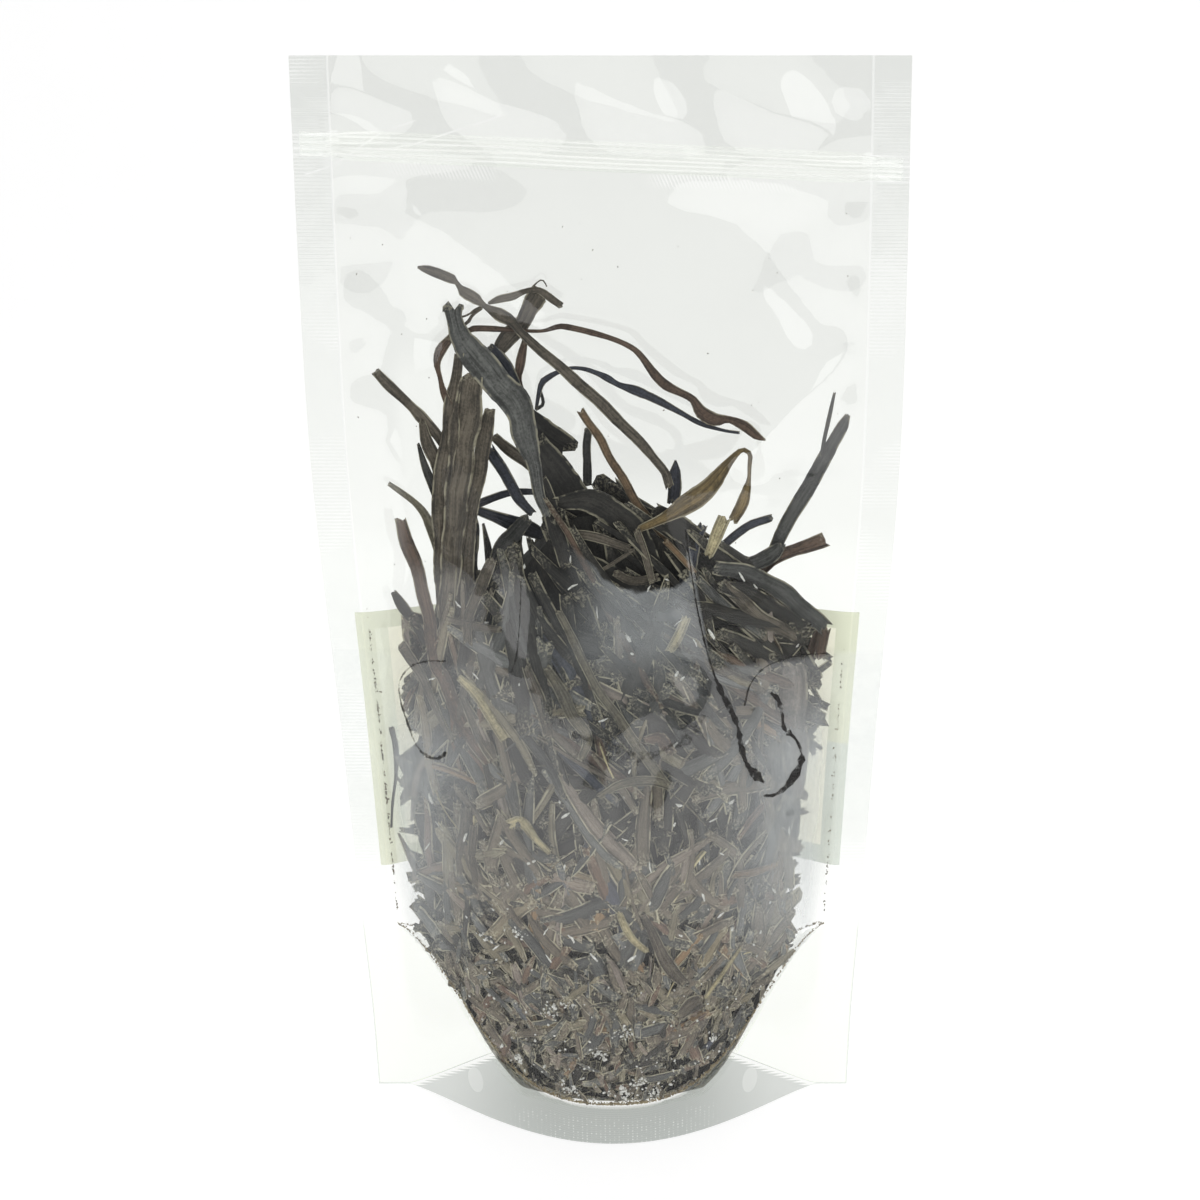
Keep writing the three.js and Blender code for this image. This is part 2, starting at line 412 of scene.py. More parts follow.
def crease_height(creases, s, z):
    total = np.zeros_like(s)
    for (s0, z0), (s1, z1), height, width in creases:
        along = np.array([s1 - s0, z1 - z0])
        t = np.clip(((s - s0) * along[0] + (z - z0) * along[1]) / (along @ along), 0, 1)
        off = np.hypot(s - s0 - t * along[0], z - z0 - t * along[1])
        total = total + height * np.exp(-((off / width) ** 2))
    return total


def shoulder_profile(side, s, z):
    """The share of the bulge across the film where it breaks into facets under the zip."""
    left, right = SHOULDER_TOP[side]
    down = np.maximum(0, 208 - z)
    crease = np.where(s < 0, -left, right) + SHOULDER_SPREAD * down
    facet = (INNER - np.abs(s)) / np.maximum(3, INNER - crease)
    return np.clip(facet, 0, None)


def soft_min(a, b, radius):
    h = np.clip(0.5 + 0.5 * (b - a) / radius, 0, 1)
    return b * (1 - h) + a * h - radius * h * (1 - h)


def lumps(side, s, z):
    """Soft lumps where the heap presses on the film."""
    turn = 0.4 if side < 0 else 2.1
    wave = (np.sin(s / 5.1 + z / 9.3 + turn) * np.sin(z / 6.1 - s / 8.7 + 2 * turn)
            + 0.7 * np.sin(s / 7.3 - z / 4.6 + 3 * turn) * np.sin(s / 4.3 + z / 13 + turn))
    in_heap = ease(weld_line(s), weld_line(s) + 14, z) * (1 - ease(88, 128, z))
    return 0.5 * wave * in_heap * (1 - ease(INNER - 16, INNER - 4, np.abs(s)))


def puckers(side, s, z):
    """Short dents that run in from the side welds."""
    turn = 1.3 * side
    wave = np.sin(z / 2.9 + 1.5 * np.sin(z / 17 + turn) + turn) * np.sin(z / 23 + 2 * turn)
    near_weld = ease(INNER - 17, INNER - 4, np.abs(s)) * (1 - ease(INNER - 2.5, INNER, np.abs(s)))
    return 0.3 * wave * near_weld * ease(45, 70, z)


def mouth(side, s, z):
    """Loose waves of the open film above the zip."""
    above = z - ZIP_HEIGHT - ZIP_SLOPE * s
    rise = ease(2, 9, above) * (1 - 0.6 * ease(12, 22, above))
    wave = 1 + np.sin(2 * np.pi * s / (29 if side < 0 else 37) + side + above / 12)
    return 1.0 * wave * rise * (1 - ease(INNER - 10, INNER, np.abs(s)))


def film_depth(side, s, z):
    """How far a film stands out from the middle plane."""
    creases = FRONT_CREASES if side < 0 else BACK_CREASES
    loose = 1 - ease(INNER - 12, INNER, np.abs(s))
    below_zip = 1 - ease(ZIP_HEIGHT - 12, ZIP_HEIGHT - 5, z - ZIP_SLOPE * s)
    profile = across_bulge(s, z)
    upper = ease(120, 165, z)
    profile = profile * (1 - upper) + upper * soft_min(profile, shoulder_profile(side, s, z), 0.07)
    body = fullness(z) * profile + crease_height(creases, s, z) * loose * below_zip
    body = body + lumps(side, s, z) + puckers(side, s, z)
    over_zip = z - ZIP_HEIGHT - ZIP_SLOPE * s
    held = (1 - ease(2.6, 4.2, np.abs(over_zip))) * (1 - ease(INNER - 3, INNER + 2, np.abs(s)))
    return 0.12 + np.maximum(np.maximum(0, body) + mouth(side, s, z), ZIP_HALF * held)


def film_point(side, s, z, lift=0.0):
    """The point of a film in millimetres, lifted outwards by lift."""
    return np.stack([drawn_in(s, z), side * (film_depth(side, s, z) + lift), z + 0 * s], axis=-1)


def both_films(side, s, z):
    return np.where((side < 0)[..., None], film_point(FRONT, s, z), film_point(BACK, s, z))


def flat_place(x, z):
    """The s of a point, from its x and z."""
    return (x - LEAN_SLOPE * (HEIGHT - z) - LEAN_SHIFT) * HALF / half_width(z)


print("film depth in the middle at 150 mm:", film_depth(FRONT, np.zeros(1), np.full(1, 150.0)))

# %% [markdown]
# ## The film, made as the real pouch is
#
# The pouch starts as a flat pad: a box as wide and high as the flat pouch and a hair
# thick. Its bottom face is inset and pushed up inside, which is the gusset folded in
# between the two films. After an even subdivision each point is moved from the flat
# pouch to the filled one. The gusset's part below the U-shaped weld stays on the film,
# and the rest swings out to hang between the two welds, resting on the table.

# %% Flat pouch with its gusset folded in
FILM_GAP = 0.24  # between the outer faces of the two films where they are welded
SKIRT_WALL = 0.2
COLUMNS = 96
FILM_ROWS = 156
GUSSET_ROWS = 26
CRISP = math.radians(50)  # faces that meet at more than this keep a crisp edge


def select_edges(mesh, rule):
    """Selects the edges of an edit mesh that the rule is true for."""
    bpy.ops.mesh.select_mode(type="EDGE")
    bpy.ops.mesh.select_all(action="DESELECT")
    shape = bmesh.from_edit_mesh(mesh)
    for edge in shape.edges:
        edge.select_set(bool(rule(edge)))
    bmesh.update_edit_mesh(mesh)


def runs_along(axis):
    def rule(edge):
        span = edge.verts[1].co - edge.verts[0].co
        return abs(span[axis]) > 0.9 * span.length and span.length > MM
    return rule


def divided_box(name, size, middle_height, columns, rows):
    """A box of a size in metres, divided along x into columns and along z into rows."""
    deselect_all()
    bpy.ops.mesh.primitive_cube_add(size=1, location=(0, 0, middle_height))
    box = bpy.context.object
    box.name = name
    box.scale = size
    bpy.ops.object.transform_apply(location=True, scale=True)
    bpy.ops.object.mode_set(mode="EDIT")
    select_edges(box.data, runs_along(0))
    bpy.ops.mesh.subdivide(number_cuts=columns - 1)
    select_edges(box.data, runs_along(2))
    bpy.ops.mesh.subdivide(number_cuts=rows - 1)
    bpy.ops.object.mode_set(mode="OBJECT")
    return box


def outer_upright(edge):
    return runs_along(2)(edge) and max(v.co.z for v in edge.verts) > 2 * GUSSET_FOLD * MM


def gusset_upright(edge):
    return runs_along(2)(edge) and edge.calc_length() > 0.9 * GUSSET_FOLD * MM


deselect_all()
bpy.ops.mesh.primitive_cube_add(size=1, location=(0, 0, HEIGHT * MM / 2))
film = bpy.context.object
film.name = "film"
film.scale = (FLAT_WIDTH * MM, FILM_GAP * MM, HEIGHT * MM)
bpy.ops.object.transform_apply(location=True, scale=True)
bpy.ops.object.mode_set(mode="EDIT")
bpy.ops.mesh.select_mode(type="FACE")
bpy.ops.mesh.select_all(action="DESELECT")
pad = bmesh.from_edit_mesh(film.data)
for face in pad.faces:
    face.select_set(face.normal.z < -0.9)
bmesh.update_edit_mesh(film.data)
bpy.ops.mesh.inset(thickness=FILM_GAP * MM / 4)
bpy.ops.mesh.extrude_region_move(TRANSFORM_OT_translate={"value": (0, 0, GUSSET_FOLD * MM)})
select_edges(film.data, runs_along(0))
bpy.ops.mesh.subdivide(number_cuts=COLUMNS - 1)
select_edges(film.data, outer_upright)
bpy.ops.mesh.subdivide(number_cuts=FILM_ROWS - 1)
select_edges(film.data, gusset_upright)
bpy.ops.mesh.subdivide(number_cuts=GUSSET_ROWS - 1)
bpy.ops.object.mode_set(mode="OBJECT")
print("flat pouch:", len(film.data.polygons), "faces")


# %% Opening the pouch
def read_points(mesh):
    flat = np.empty(len(mesh.vertices) * 3)
    mesh.vertices.foreach_get("co", flat)
    return flat.reshape(-1, 3)


def write_points(mesh, points):
    mesh.vertices.foreach_set("co", np.asarray(points, float).ravel())
    mesh.update()


def store_uv(mesh, name, places):
    """Gives each corner of each face the flat place of its point."""
    corner = np.empty(len(mesh.loops), int)
    mesh.loops.foreach_get("vertex_index", corner)
    mesh.uv_layers.new(name=name).data.foreach_set("uv", places[corner].ravel())


def gusset_height(s, y):
    """Height of the opened gusset under a point, in millimetres."""
    weld = weld_line(s)
    reach = fullness(np.zeros_like(s)) * across_bulge(s, np.zeros_like(s)) + 0.01
    length = 2 * (GUSSET_FOLD - weld)
    hang = 2 * reach * np.sqrt(0.375 * np.maximum(0.02, length / (2 * reach) - 1))
    t = np.clip((y + reach) / (2 * reach), 0, 1)
    return np.maximum(0.25, weld - np.minimum(hang, weld + 0.6) * 4 * t * (1 - t))


flat = read_points(film.data) / MM
s, z = flat[:, 0], flat[:, 2]
side = np.where(flat[:, 1] < 0, FRONT, BACK)
folded_in = (np.abs(flat[:, 1]) < 0.4 * FILM_GAP) & (z <= GUSSET_FOLD + 0.01)
opened = both_films(side, s, z)
wall = np.where(folded_in, SKIRT_WALL, 0) * np.where(np.abs(s) < INNER, 1, 0.4)
wall = np.minimum(wall, 0.6 * np.abs(opened[:, 1]))
opened[:, 1] -= side * wall
weld = weld_line(s)
swings = folded_in & (z > weld)
swing = np.where(swings, (z - weld) / np.maximum(0.01, GUSSET_FOLD - weld), 0)
at_weld = both_films(side, s, weld)
swung_y = (at_weld[:, 1] - side * wall) * (1 - swing)
opened[swings, 1] = swung_y[swings]
opened[swings, 0] = at_weld[swings, 0]
opened[swings, 2] = gusset_height(s, swung_y)[swings]
write_points(film.data, opened * MM)
store_uv(film.data, "pattern", flat[:, [0, 2]] * MM)

deselect_all()
film.select_set(True)
bpy.context.view_layer.objects.active = film
bpy.ops.object.mode_set(mode="EDIT")
bpy.ops.mesh.select_all(action="SELECT")
bpy.ops.mesh.normals_make_consistent(inside=False)
bpy.ops.object.mode_set(mode="OBJECT")
bpy.ops.object.shade_smooth_by_angle(angle=CRISP)
print("film spans", [round(float(c), 4) for c in film.dimensions])

# %% [markdown]
# ## Clear film
#
# A clear film takes almost no light, but each layer mirrors about a tenth of the room, so
# against a white sheet it looks a little grey where it mirrors a dark room, and white
# where it mirrors the table. Crushed places, such as the zip, the crimped welds and sharp
# wrinkles, don't mirror and look bright. A pale haze over the heap and at its sides is
# painted reflection, for the white table and lights that the film mirrors there, and a grey
# band over the foot weld is painted shade. So the material is a mix of four: straight
# through, mirror, painted shade at the foot and painted reflection. All its lines are drawn
# on the flat pouch's own coordinates, as they lie on the real film.

# %% Lines drawn on the film
WRINKLES = [  # from, to, half width: straight white creases at the ends of the zip
    ((-63.5, 210.2), (-56, 212.6), 0.25), ((-57, 212.2), (-45.5, 219.6), 0.3),
    ((-45.5, 219.6), (-38, 222), 0.25), ((-53, 214.2), (-38, 217.2), 0.25),
    ((-42, 216), (-27.5, 220.6), 0.25), ((-28, 220.4), (-19, 223.4), 0.3),
    ((-64.3, 218.7), (-46, 219.3), 0.35), ((48, 213.2), (63.3, 212.8), 0.3),
    ((44, 210.6), (63, 210.4), 0.25), ((55, 211), (63.2, 208.6), 0.3),
]
HAZE_WINDOW = (9, 122.5, 18)  # where the clear window's edge is lowest, and its right side
FOOT_BAND = 54.5  # where the painted shade over the foot weld ends, measured along the table


def stroke(across, up, start, end, half):
    """1 along a straight line on the flat film, in millimetres, and 0 beside it."""
    (s0, z0), (s1, z1) = start, end
    length = math.hypot(s1 - s0, z1 - z0)
    over, rise = (s1 - s0) / length, (z1 - z0) / length
    along = (across - s0) * over + (up - z0) * rise
    beside = abs((across - s0) * rise - (up - z0) * over)
    ends = along.between(0, 2) * along.between(length, length - 2)
    return beside.between(half, 0.4 * half) * ends


def stripes(place, pitch):
    """A sine wave from 0 to 1 across the given place."""
    return (place * (2 * math.pi / pitch)).sine() * 0.5 + 0.5


# %% Film finish
def clear_film():
    finish = Finish("clear_film")
    flat_metres = finish.node("ShaderNodeUVMap", {"uv_map": "pattern"})
    across, up = finish.on_flat(flat_metres)
    where = finish.place()
    fine = finish.noise(where, 900.0, 2.0, 0.6)
    broad = finish.noise(where, 38.0, 2.0)
    from_middle = abs(across) / INNER
    beyond = abs(across) - INNER
    in_side_weld = beyond.between(-0.15, 0.15)
    curve = ((from_middle.smallest(1.0) ** 1.75) * (math.pi / 2)).sine()
    weld_height = curve * curve * (GUSSET_FOLD - SKIRT) + SKIRT
    in_foot_weld = (weld_height - up).between(-0.2, 0.2)

    over_zip = up - across * ZIP_SLOPE - ZIP_HEIGHT
    at_front = finish.split(where)[1] < 0
    drift = finish.noise(finish.stretched(flat_metres, (26, 90, 1)), 1.0, 0.0)
    fan = across.between(-15, -62) * 0.45 + across.between(45, 62) * 0.25 + 1
    in_zip = abs(over_zip).between(ZIP_BAND / 2, ZIP_BAND / 2 - 0.4) * at_front
    zip_lines = stripes(over_zip / fan + drift * 1.3, 0.92).between(0.55, 0.9)
    fringe = over_zip.between(-6.4, -5) * over_zip.between(-ZIP_BAND / 2 + 0.3, -ZIP_BAND / 2)
    combed = (across.between(-48, -44) * across.between(-20, -26)
              + across.between(8, 14) * across.between(46, 40))
    hatch = stripes(across + up * 0.45, 0.78).between(0.35, 0.9) * fringe * combed * at_front
    above_fold = up.between(GUSSET_FOLD - 3, GUSSET_FOLD + 6)
    crimps = stripes(up + fine * 0.3, 0.77).between(0.4, 0.9) * in_side_weld * above_fold
    crimps = crimps * finish.noise(finish.stretched(where, (1, 1, 1.5)), 30.0, 2.0).between(0.45, 0.65)
    weld_edge = abs(beyond).between(0.35, 0.1) * above_fold
    bright = (in_zip * (zip_lines * 0.85 + 0.12)).largest(hatch * 0.8).largest(crimps * 0.6)
    bright = bright.largest(weld_edge * 0.45)
    for start, end, half in WRINKLES:
        bright = bright.largest(stroke(across, up, start, end, half) * at_front)

    towards_corner = up * 1.5 + abs(across) + stripes(up * 1.6 + abs(across) * 0.5, 1.1) * 1.6
    # Painted shade: the grey band over the front foot weld stands for the dark underside seen through the
    # skirt. Its ribs and dashes are the weld's own marks.
    foot_band = towards_corner.between(FOOT_BAND + 1.2, FOOT_BAND) * in_foot_weld * at_front
    dashes = stripes(across, 1.2).between(0.7, 0.95) * stripes(up, 0.68).between(0.55, 0.85)
    dashes = dashes * fine.between(0.42, 0.6) * up.between(7, 5) * abs(across).between(32, 22)
    foot_ribs = stripes(weld_height - up, 0.5)
    oval = ((abs(across) - 36.8) * 0.465) ** 2 + ((up - 8.0) * 0.33) ** 2
    foot_edge = up.between(0.45, 0.1) * (1 - abs(across).between(40, 54) * 0.6)
    skirt_edge = abs(across).between(HALF - 0.6, HALF - 0.2) * (1 - above_fold)
    foot_shade_cover = foot_band * (0.84 - foot_ribs * 0.1 - dashes * 0.45 - oval.between(1.0, 0.95) * 0.2)
    foot_shade_cover = foot_shade_cover * (1 - abs(across).between(14, 50) * 0.4)
    foot_shade_cover = foot_shade_cover.largest(foot_edge * 0.5).largest(skirt_edge * 0.12)

    wobble = finish.noise(where, 45.0, 3.0, 0.5)
    relief = wobble * 0.35 + stripes(up, 0.77) * in_side_weld * 0.01 + foot_ribs * in_foot_weld * 0.02
    normal = finish.bump(relief * MM, 1.0, 0.6)
    facing = finish.node("ShaderNodeLayerWeight", {}, {"Blend": 0.5}, out="Facing")
    ragged = finish.noise(where, 160.0, 5.0, 0.6) * 5 - 2.5
    low, lowest, right = HAZE_WINDOW
    window = (up - (across - low) ** 2 * 0.035 - lowest + ragged).between(-0.3, 0.7)
    window = window * (across + ragged).between(right + 0.5, right) * up.between(160, 150)
    beside_fold = (across - 17.5 - (136 - up) * 0.2).between(-0.3, 0.5) * up.between(104.5, 106.5)
    over_bundle = abs(across + 32).between(15, 11) * up.between(122, 130) * up.between(176, 166)
    smooth_film = ((window * 0.8).largest(beside_fold) * up.between(150, 136)).largest(over_bundle)
    dull = bright.largest(up.between(60, 38) * 0.6).largest(smooth_film * 0.85)
    mirror = ((facing ** 4) * 0.85 + 0.088) * (1 - dull)
    clear = finish.see_through(0.942, 0.95, 0.933)
    at_skirt = finish.see_through(0.987, 0.991, 0.981)
    clearest = finish.see_through(1, 1, 0.995)
    clear = finish.blend(in_foot_weld.largest(up.between(66, 44)), clear, at_skirt)
    clear = finish.blend(bright, clear, clearest)
    shine = finish.node("ShaderNodeBsdfGlossy", {}, {
        "Color": (1, 1, 1, 1), "Roughness": 0.035, "Normal": normal})
    film_alone = finish.blend(mirror, clear, shine)
    foot_painted_shade = finish.see_through(0.66, 0.68, 0.665)
    film_alone = finish.blend(foot_shade_cover, film_alone, foot_painted_shade)

    in_arcs = (abs(across - 2) + broad * 6).between(35.5, 36.5) * (up + broad * 6).between(109.5, 108.5)
    # Painted reflection: a pale haze over the heap, under the window and at the sides, for the white
    # table and lights that the film mirrors there.
    haze_over_heap = (up + broad * 16).between(140, 118) * (1 - window) * up.between(50, 85)
    haze_over_heap = haze_over_heap * (0.75 + in_arcs * 0.8) * (1 - beside_fold * 0.9)
    haze_under_window = (abs(across - 8) + broad * 8).between(24, 8) * up.between(96, 118) * up.between(142, 128)
    haze_under_window = haze_under_window * (1 - window) * (1 - beside_fold)
    haze_at_sides = (abs(across + 4) / INNER + broad * 0.2).between(0.52, 1.02) * up.between(100, 82)
    haze_at_sides = haze_at_sides * up.between(26, 50) * from_middle.between(0.97, 0.88)
    streaks = finish.noise(finish.stretched(where, (1, 1, 0.25)), 330.0, 4.0, 0.65)
    haze_mottle = finish.noise(where, 160.0, 4.0, 0.6).between(0.3, 0.8)
    reflection_haze = haze_over_heap * (0.03 + haze_mottle * 0.035) + haze_at_sides * (streaks.between(0.35, 0.7) * 0.08 + 0.26)
    reflection_haze = (reflection_haze + haze_under_window * (0.2 + haze_mottle * 0.08) + in_side_weld * 0.03 + 0.004) * (1 - in_foot_weld)
    pale_painted_light = finish.principled({
        "Base Color": (0.86, 0.91, 0.92, 1), "Roughness": 0.45})
    return finish.surface(finish.blend(reflection_haze, film_alone, pale_painted_light))


film.data.materials.append(clear_film())
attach(film, "root")
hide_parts("pouch")

# %% [markdown]
# ## The zip
#
# Two ribbed plastic strips press into each other between the films. Closed, they are one
# flat bar with four ridges on each side, crushed thin where the side welds run over it.
# The bar is a subdivided box, and its points are moved: out into ridges, and in at the
# ends. Its plastic is as clear as the film, so it shows as fine grey and white lines. The
# white lines also glow a little: painted light, for the light of the bright sheet that
# the ridges bend towards the front.

# %% Zip
ZIP_COLUMNS = 128
ZIP_ROWS = 24
ZIP_RIDGES = 4


def zip_finish():
    finish = Finish("zip_plastic")
    flat_metres = finish.node("ShaderNodeUVMap", {"uv_map": "pattern"})
    across, up = finish.on_flat(flat_metres)
    lines = stripes(up, ZIP_BAND / ZIP_RIDGES)
    white = lines.between(0.3, 0.1) * 0.1 + abs(across).between(54, 60) * 0.2
    mirror = lines.between(0.78, 0.96) * 0.06 + abs(up).between(2.7, 3.0) * 0.1 + 0.02
    clear = finish.see_through(0.995, 1.0, 0.99)
    shine = finish.node("ShaderNodeBsdfGlossy", {}, {
        "Color": (1, 1, 1, 1), "Roughness": 0.12, "Normal": finish.bump(lines, 0.1 * MM, 0.5)})
    # Painted light: the white of the ridges is given a little glow.
    pale_painted_light = finish.principled({
        "Base Color": (0.95, 0.96, 0.95, 1), "Roughness": 0.4,
        "Emission Color": (1, 1, 1, 1), "Emission Strength": 0.25})
    plastic = finish.blend(mirror, clear, shine)
    return finish.surface(finish.blend(white, plastic, pale_painted_light))


zip_size = ((FLAT_WIDTH - 3) * MM, 2 * ZIP_HALF * MM, ZIP_BAND * MM)
zip_bar = divided_box("zip", zip_size, 0, ZIP_COLUMNS, ZIP_ROWS)
bar = read_points(zip_bar.data) / MM
s, off = bar[:, 0], bar[:, 2]
open_part = 1 - ease(INNER - 6, INNER + 1, np.abs(s))
ridge = 0.62 + 0.3 * np.cos(2 * np.pi * ZIP_RIDGES * off / ZIP_BAND)
thickness = (ZIP_HALF * ridge - 0.06) * open_part + 0.05 * (1 - open_part)
thickness = thickness * np.where(np.abs(off) > 0.499 * ZIP_BAND, 0.6, 1)
z = ZIP_HEIGHT + ZIP_SLOPE * s + off * (0.82 + 0.18 * open_part)
placed = film_point(FRONT, s, z)
placed[:, 1] = np.sign(bar[:, 1]) * thickness
write_points(zip_bar.data, placed * MM)
store_uv(zip_bar.data, "pattern", bar[:, [0, 2]] * MM)
zip_bar.data.materials.append(zip_finish())
bpy.ops.object.shade_smooth_by_angle(angle=CRISP)
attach(zip_bar, "root")
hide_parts("pouch")
print("zip:", len(zip_bar.data.polygons), "faces")

# %% [markdown]
# ## The paper label
#
# A thin paper label is stuck to the back film and follows its bulge. From the front one
# sees its gummed side through the film, with the fields of colour showing through: a pale
# green border, a cream panel, and a grey-blue strip round the lower right corner. The
# sheet is a subdivided box laid a hair outside the film. Paper lets light through, so a
# part of it is a Translucent shader. The gummed side is also given a painted glow, which
# stands in for the light that comes through it from behind.

# %% Label
LABEL_HALF = 58.6
LABEL_BOTTOM = 54.7
LABEL_TOP = 114.6
LABEL_PAPER = 0.12
LABEL_LIFT = 0.12
LABEL_COLUMNS = 86
LABEL_ROWS = 40
PANEL = (-51.5, 53.6, 59.0, 110.6)  # the cream panel's left, right, bottom and top
BLUE_TOP = 84.0


def paper():
    finish = Finish("label_paper")
    flat_metres = finish.node("ShaderNodeUVMap", {"uv_map": "pattern"})
    across, up = finish.on_flat(flat_metres)
    left, right, bottom, top = PANEL
    soft = 0.12

    def past(place, edge):
        return place.between(edge - soft, edge + soft)

    in_panel = past(across, left) * (1 - past(across, right)) * past(up, bottom) * (1 - past(up, top))
    pale_strip = (1 - past(across, left)) * past(across, left - 3.0) * (1 - past(up, top))
    blue = (1 - past(up, BLUE_TOP)) * past(across, right) + (1 - past(up, bottom)) * past(across, 20.0)
    where = finish.place()
    fibres = finish.noise(finish.stretched(where, (1, 1, 0.5)), 1400.0, 4.0, 0.7)
    cloudy = finish.noise(where, 90.0, 3.0)
    tone = finish.mixed(cloudy, (0.68, 0.69, 0.58), (0.74, 0.75, 0.64))
    tone = finish.mixed(pale_strip * 0.7, tone, (0.88, 0.89, 0.82))
    tone = finish.mixed(in_panel, tone, (0.93, 0.90, 0.82))
    tone = finish.mixed(blue.smallest(1.0), tone, (0.62, 0.655, 0.65))
    tone = finish.mixed(fibres.between(0.5, 0.8) * 0.12, tone, (0.5, 0.5, 0.45))
    gummed = finish.split(finish.node("ShaderNodeTexCoord", out="Normal"))[1] < 0
    # Painted light: the gummed side glows with its own colour, for the light coming through the paper
    # from behind.
    sheet = finish.principled({
        "Base Color": tone, "Roughness": 0.6, "Normal": finish.bump(fibres, 0.05 * MM, 0.4),
        "Emission Color": finish.mixed(gummed, (0.02, 0.02, 0.018), tone), "Emission Strength": 0.58})
    through = finish.node("ShaderNodeBsdfTranslucent", {}, {"Color": (0.9, 0.9, 0.82, 1)})
    lit = finish.blend(0.3, sheet, through)
    window = finish.see_through(0.86, 0.87, 0.80)
    return finish.surface(finish.blend(0.3 - in_panel * 0.1, lit, window))


label_size = (2 * LABEL_HALF * MM, LABEL_PAPER * MM, (LABEL_TOP - LABEL_BOTTOM) * MM)
label_middle = (LABEL_BOTTOM + LABEL_TOP) / 2 * MM
label = divided_box("label_sheet", label_size, label_middle, LABEL_COLUMNS, LABEL_ROWS)
sheet_points = read_points(label.data) / MM
s, z = sheet_points[:, 0], sheet_points[:, 2]
lifted = LABEL_LIFT + LABEL_PAPER / 2 + sheet_points[:, 1]
slope_s = film_depth(BACK, s + 0.5, z) - film_depth(BACK, s - 0.5, z)
slope_z = film_depth(BACK, s, z + 0.5) - film_depth(BACK, s, z - 0.5)
steepness = np.sqrt(1 + slope_s**2 + slope_z**2)
write_points(label.data, film_point(BACK, s, z, lifted * steepness) * MM)
store_uv(label.data, "pattern", sheet_points[:, [0, 2]] * MM)
label.data.materials.append(paper())
bpy.ops.object.shade_smooth_by_angle(angle=CRISP)
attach(label, "root")
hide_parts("label")
print("label:", len(label.data.polygons), "faces")

# %% [markdown]
# ## Shapes for the seaweed
#
# Dried sea spaghetti is cut into flat strips, a few millimetres wide and under one thick,
# with some round stems. One strip and one stem are modelled here, one unit long.
# Each real piece is then a copy of one of them, with its own length, width, bend, twist
# and torn ends. The copies of a kind are joined into one mesh, because a thousand
# separate objects would only slow the work down.


# %% One strip and one stem
def take_shape(blank):
    """The points and faces of a blank, which is then removed."""
    points = read_points(blank.data)
    faces = [list(face.vertices) for face in blank.data.polygons]
    bpy.data.objects.remove(blank)
    return points, faces


def rim_edges(edge):
    return min(abs(corner.co.x) for corner in edge.verts) > 0.45


def model_strip(rings, columns):
    """A strip one unit wide, thick and long, thinner along both edges."""
    deselect_all()
    bpy.ops.mesh.primitive_cube_add(size=1)
    blank = bpy.context.object
    bpy.ops.object.mode_set(mode="EDIT")
    select_edges(blank.data, runs_along(2))
    bpy.ops.mesh.subdivide(number_cuts=rings - 1)
    select_edges(blank.data, runs_along(0))
    bpy.ops.mesh.subdivide(number_cuts=columns - 1)
    select_edges(blank.data, rim_edges)
    bpy.ops.transform.resize(value=(1, 0.45, 1))
    bpy.ops.object.mode_set(mode="OBJECT")
    return take_shape(blank)


def model_stem(rings, sides):
    """A round stem one unit thick and long."""
    deselect_all()
    bpy.ops.mesh.primitive_cylinder_add(vertices=sides, radius=0.5, depth=1)
    blank = bpy.context.object
    bpy.ops.object.mode_set(mode="EDIT")
    select_edges(blank.data, runs_along(2))
    bpy.ops.mesh.subdivide(number_cuts=rings - 1)
    bpy.ops.object.mode_set(mode="OBJECT")
    return take_shape(blank)


STRIP = model_strip(6, 3)
CHIP = model_strip(4, 2)
CRUMB = model_strip(2, 2)
STEM = model_stem(6, 7)
FIBRE = model_stem(8, 4)
kinds = {"strip": STRIP, "chip": CHIP, "crumb": CRUMB, "stem": STEM, "fibre": FIBRE}
print("faces of each kind:", {kind: len(shape[1]) for kind, shape in kinds.items()})

# %% [markdown]
# ## Keeping the pieces inside
#
# No piece may come through the film, the welds or the gusset. A place can be tested
# against the same formulas that shaped the film, so each piece's middle line is pushed
# back inside wherever it would come out, which also drapes the pieces along the film.


# %% Room inside the pouch
FILM_CLEARANCE = 0.3
LEAST_ROOM = 0.02  # left between the middle plane and a film where they meet


def keep_inside(points, room):
    """Moves points so that they stay room millimetres inside the pouch."""
    x, y, z = points[..., 0], points[..., 1], np.clip(points[..., 2], 0.3, HEIGHT - 30)
    s = np.clip(flat_place(x, z), -(INNER - 0.8 - room), INNER - 0.8 - room)
    x = drawn_in(s, z)
    depth = np.where(y < 0, film_depth(FRONT, s, z), film_depth(BACK, s, z))
    limit = np.maximum(LEAST_ROOM, depth - room)
    y = np.clip(y, -limit, limit)
    return np.stack([x, y, np.maximum(z, gusset_height(s, y) + room)], axis=-1)


def behind_film(points):
    """Flattens pieces against the film wherever a corner would come through it."""
    s = np.clip(flat_place(points[..., 0], points[..., 2]), -INNER, INNER)
    front = np.maximum(LEAST_ROOM, film_depth(FRONT, s, points[..., 2]) - FILM_CLEARANCE)
    back = np.maximum(LEAST_ROOM, film_depth(BACK, s, points[..., 2]) - FILM_CLEARANCE)
    y = np.clip(points[..., 1], -front, back)
    return np.stack([points[..., 0], y, points[..., 2]], axis=-1)


def unit(vectors):
    return vectors / np.linalg.norm(vectors, axis=-1, keepdims=True)


# %% [markdown]
# ## Laying the loose pieces
#
# A piece is placed by its spot on a film, its depth behind it, and its lean in the plane
# of the film. All the pieces of one kind are worked out together, as arrays.

# %% Laying pieces
SEED = 11
AT_END = 0.49  # beyond this, a point of a shape one unit long is on one of its ends
rng = np.random.default_rng(SEED)


def store(mesh, name, values):
    values = np.asarray(values, np.float32)
    mesh.attributes.new(name, "FLOAT", "POINT").data.foreach_set("value", values)


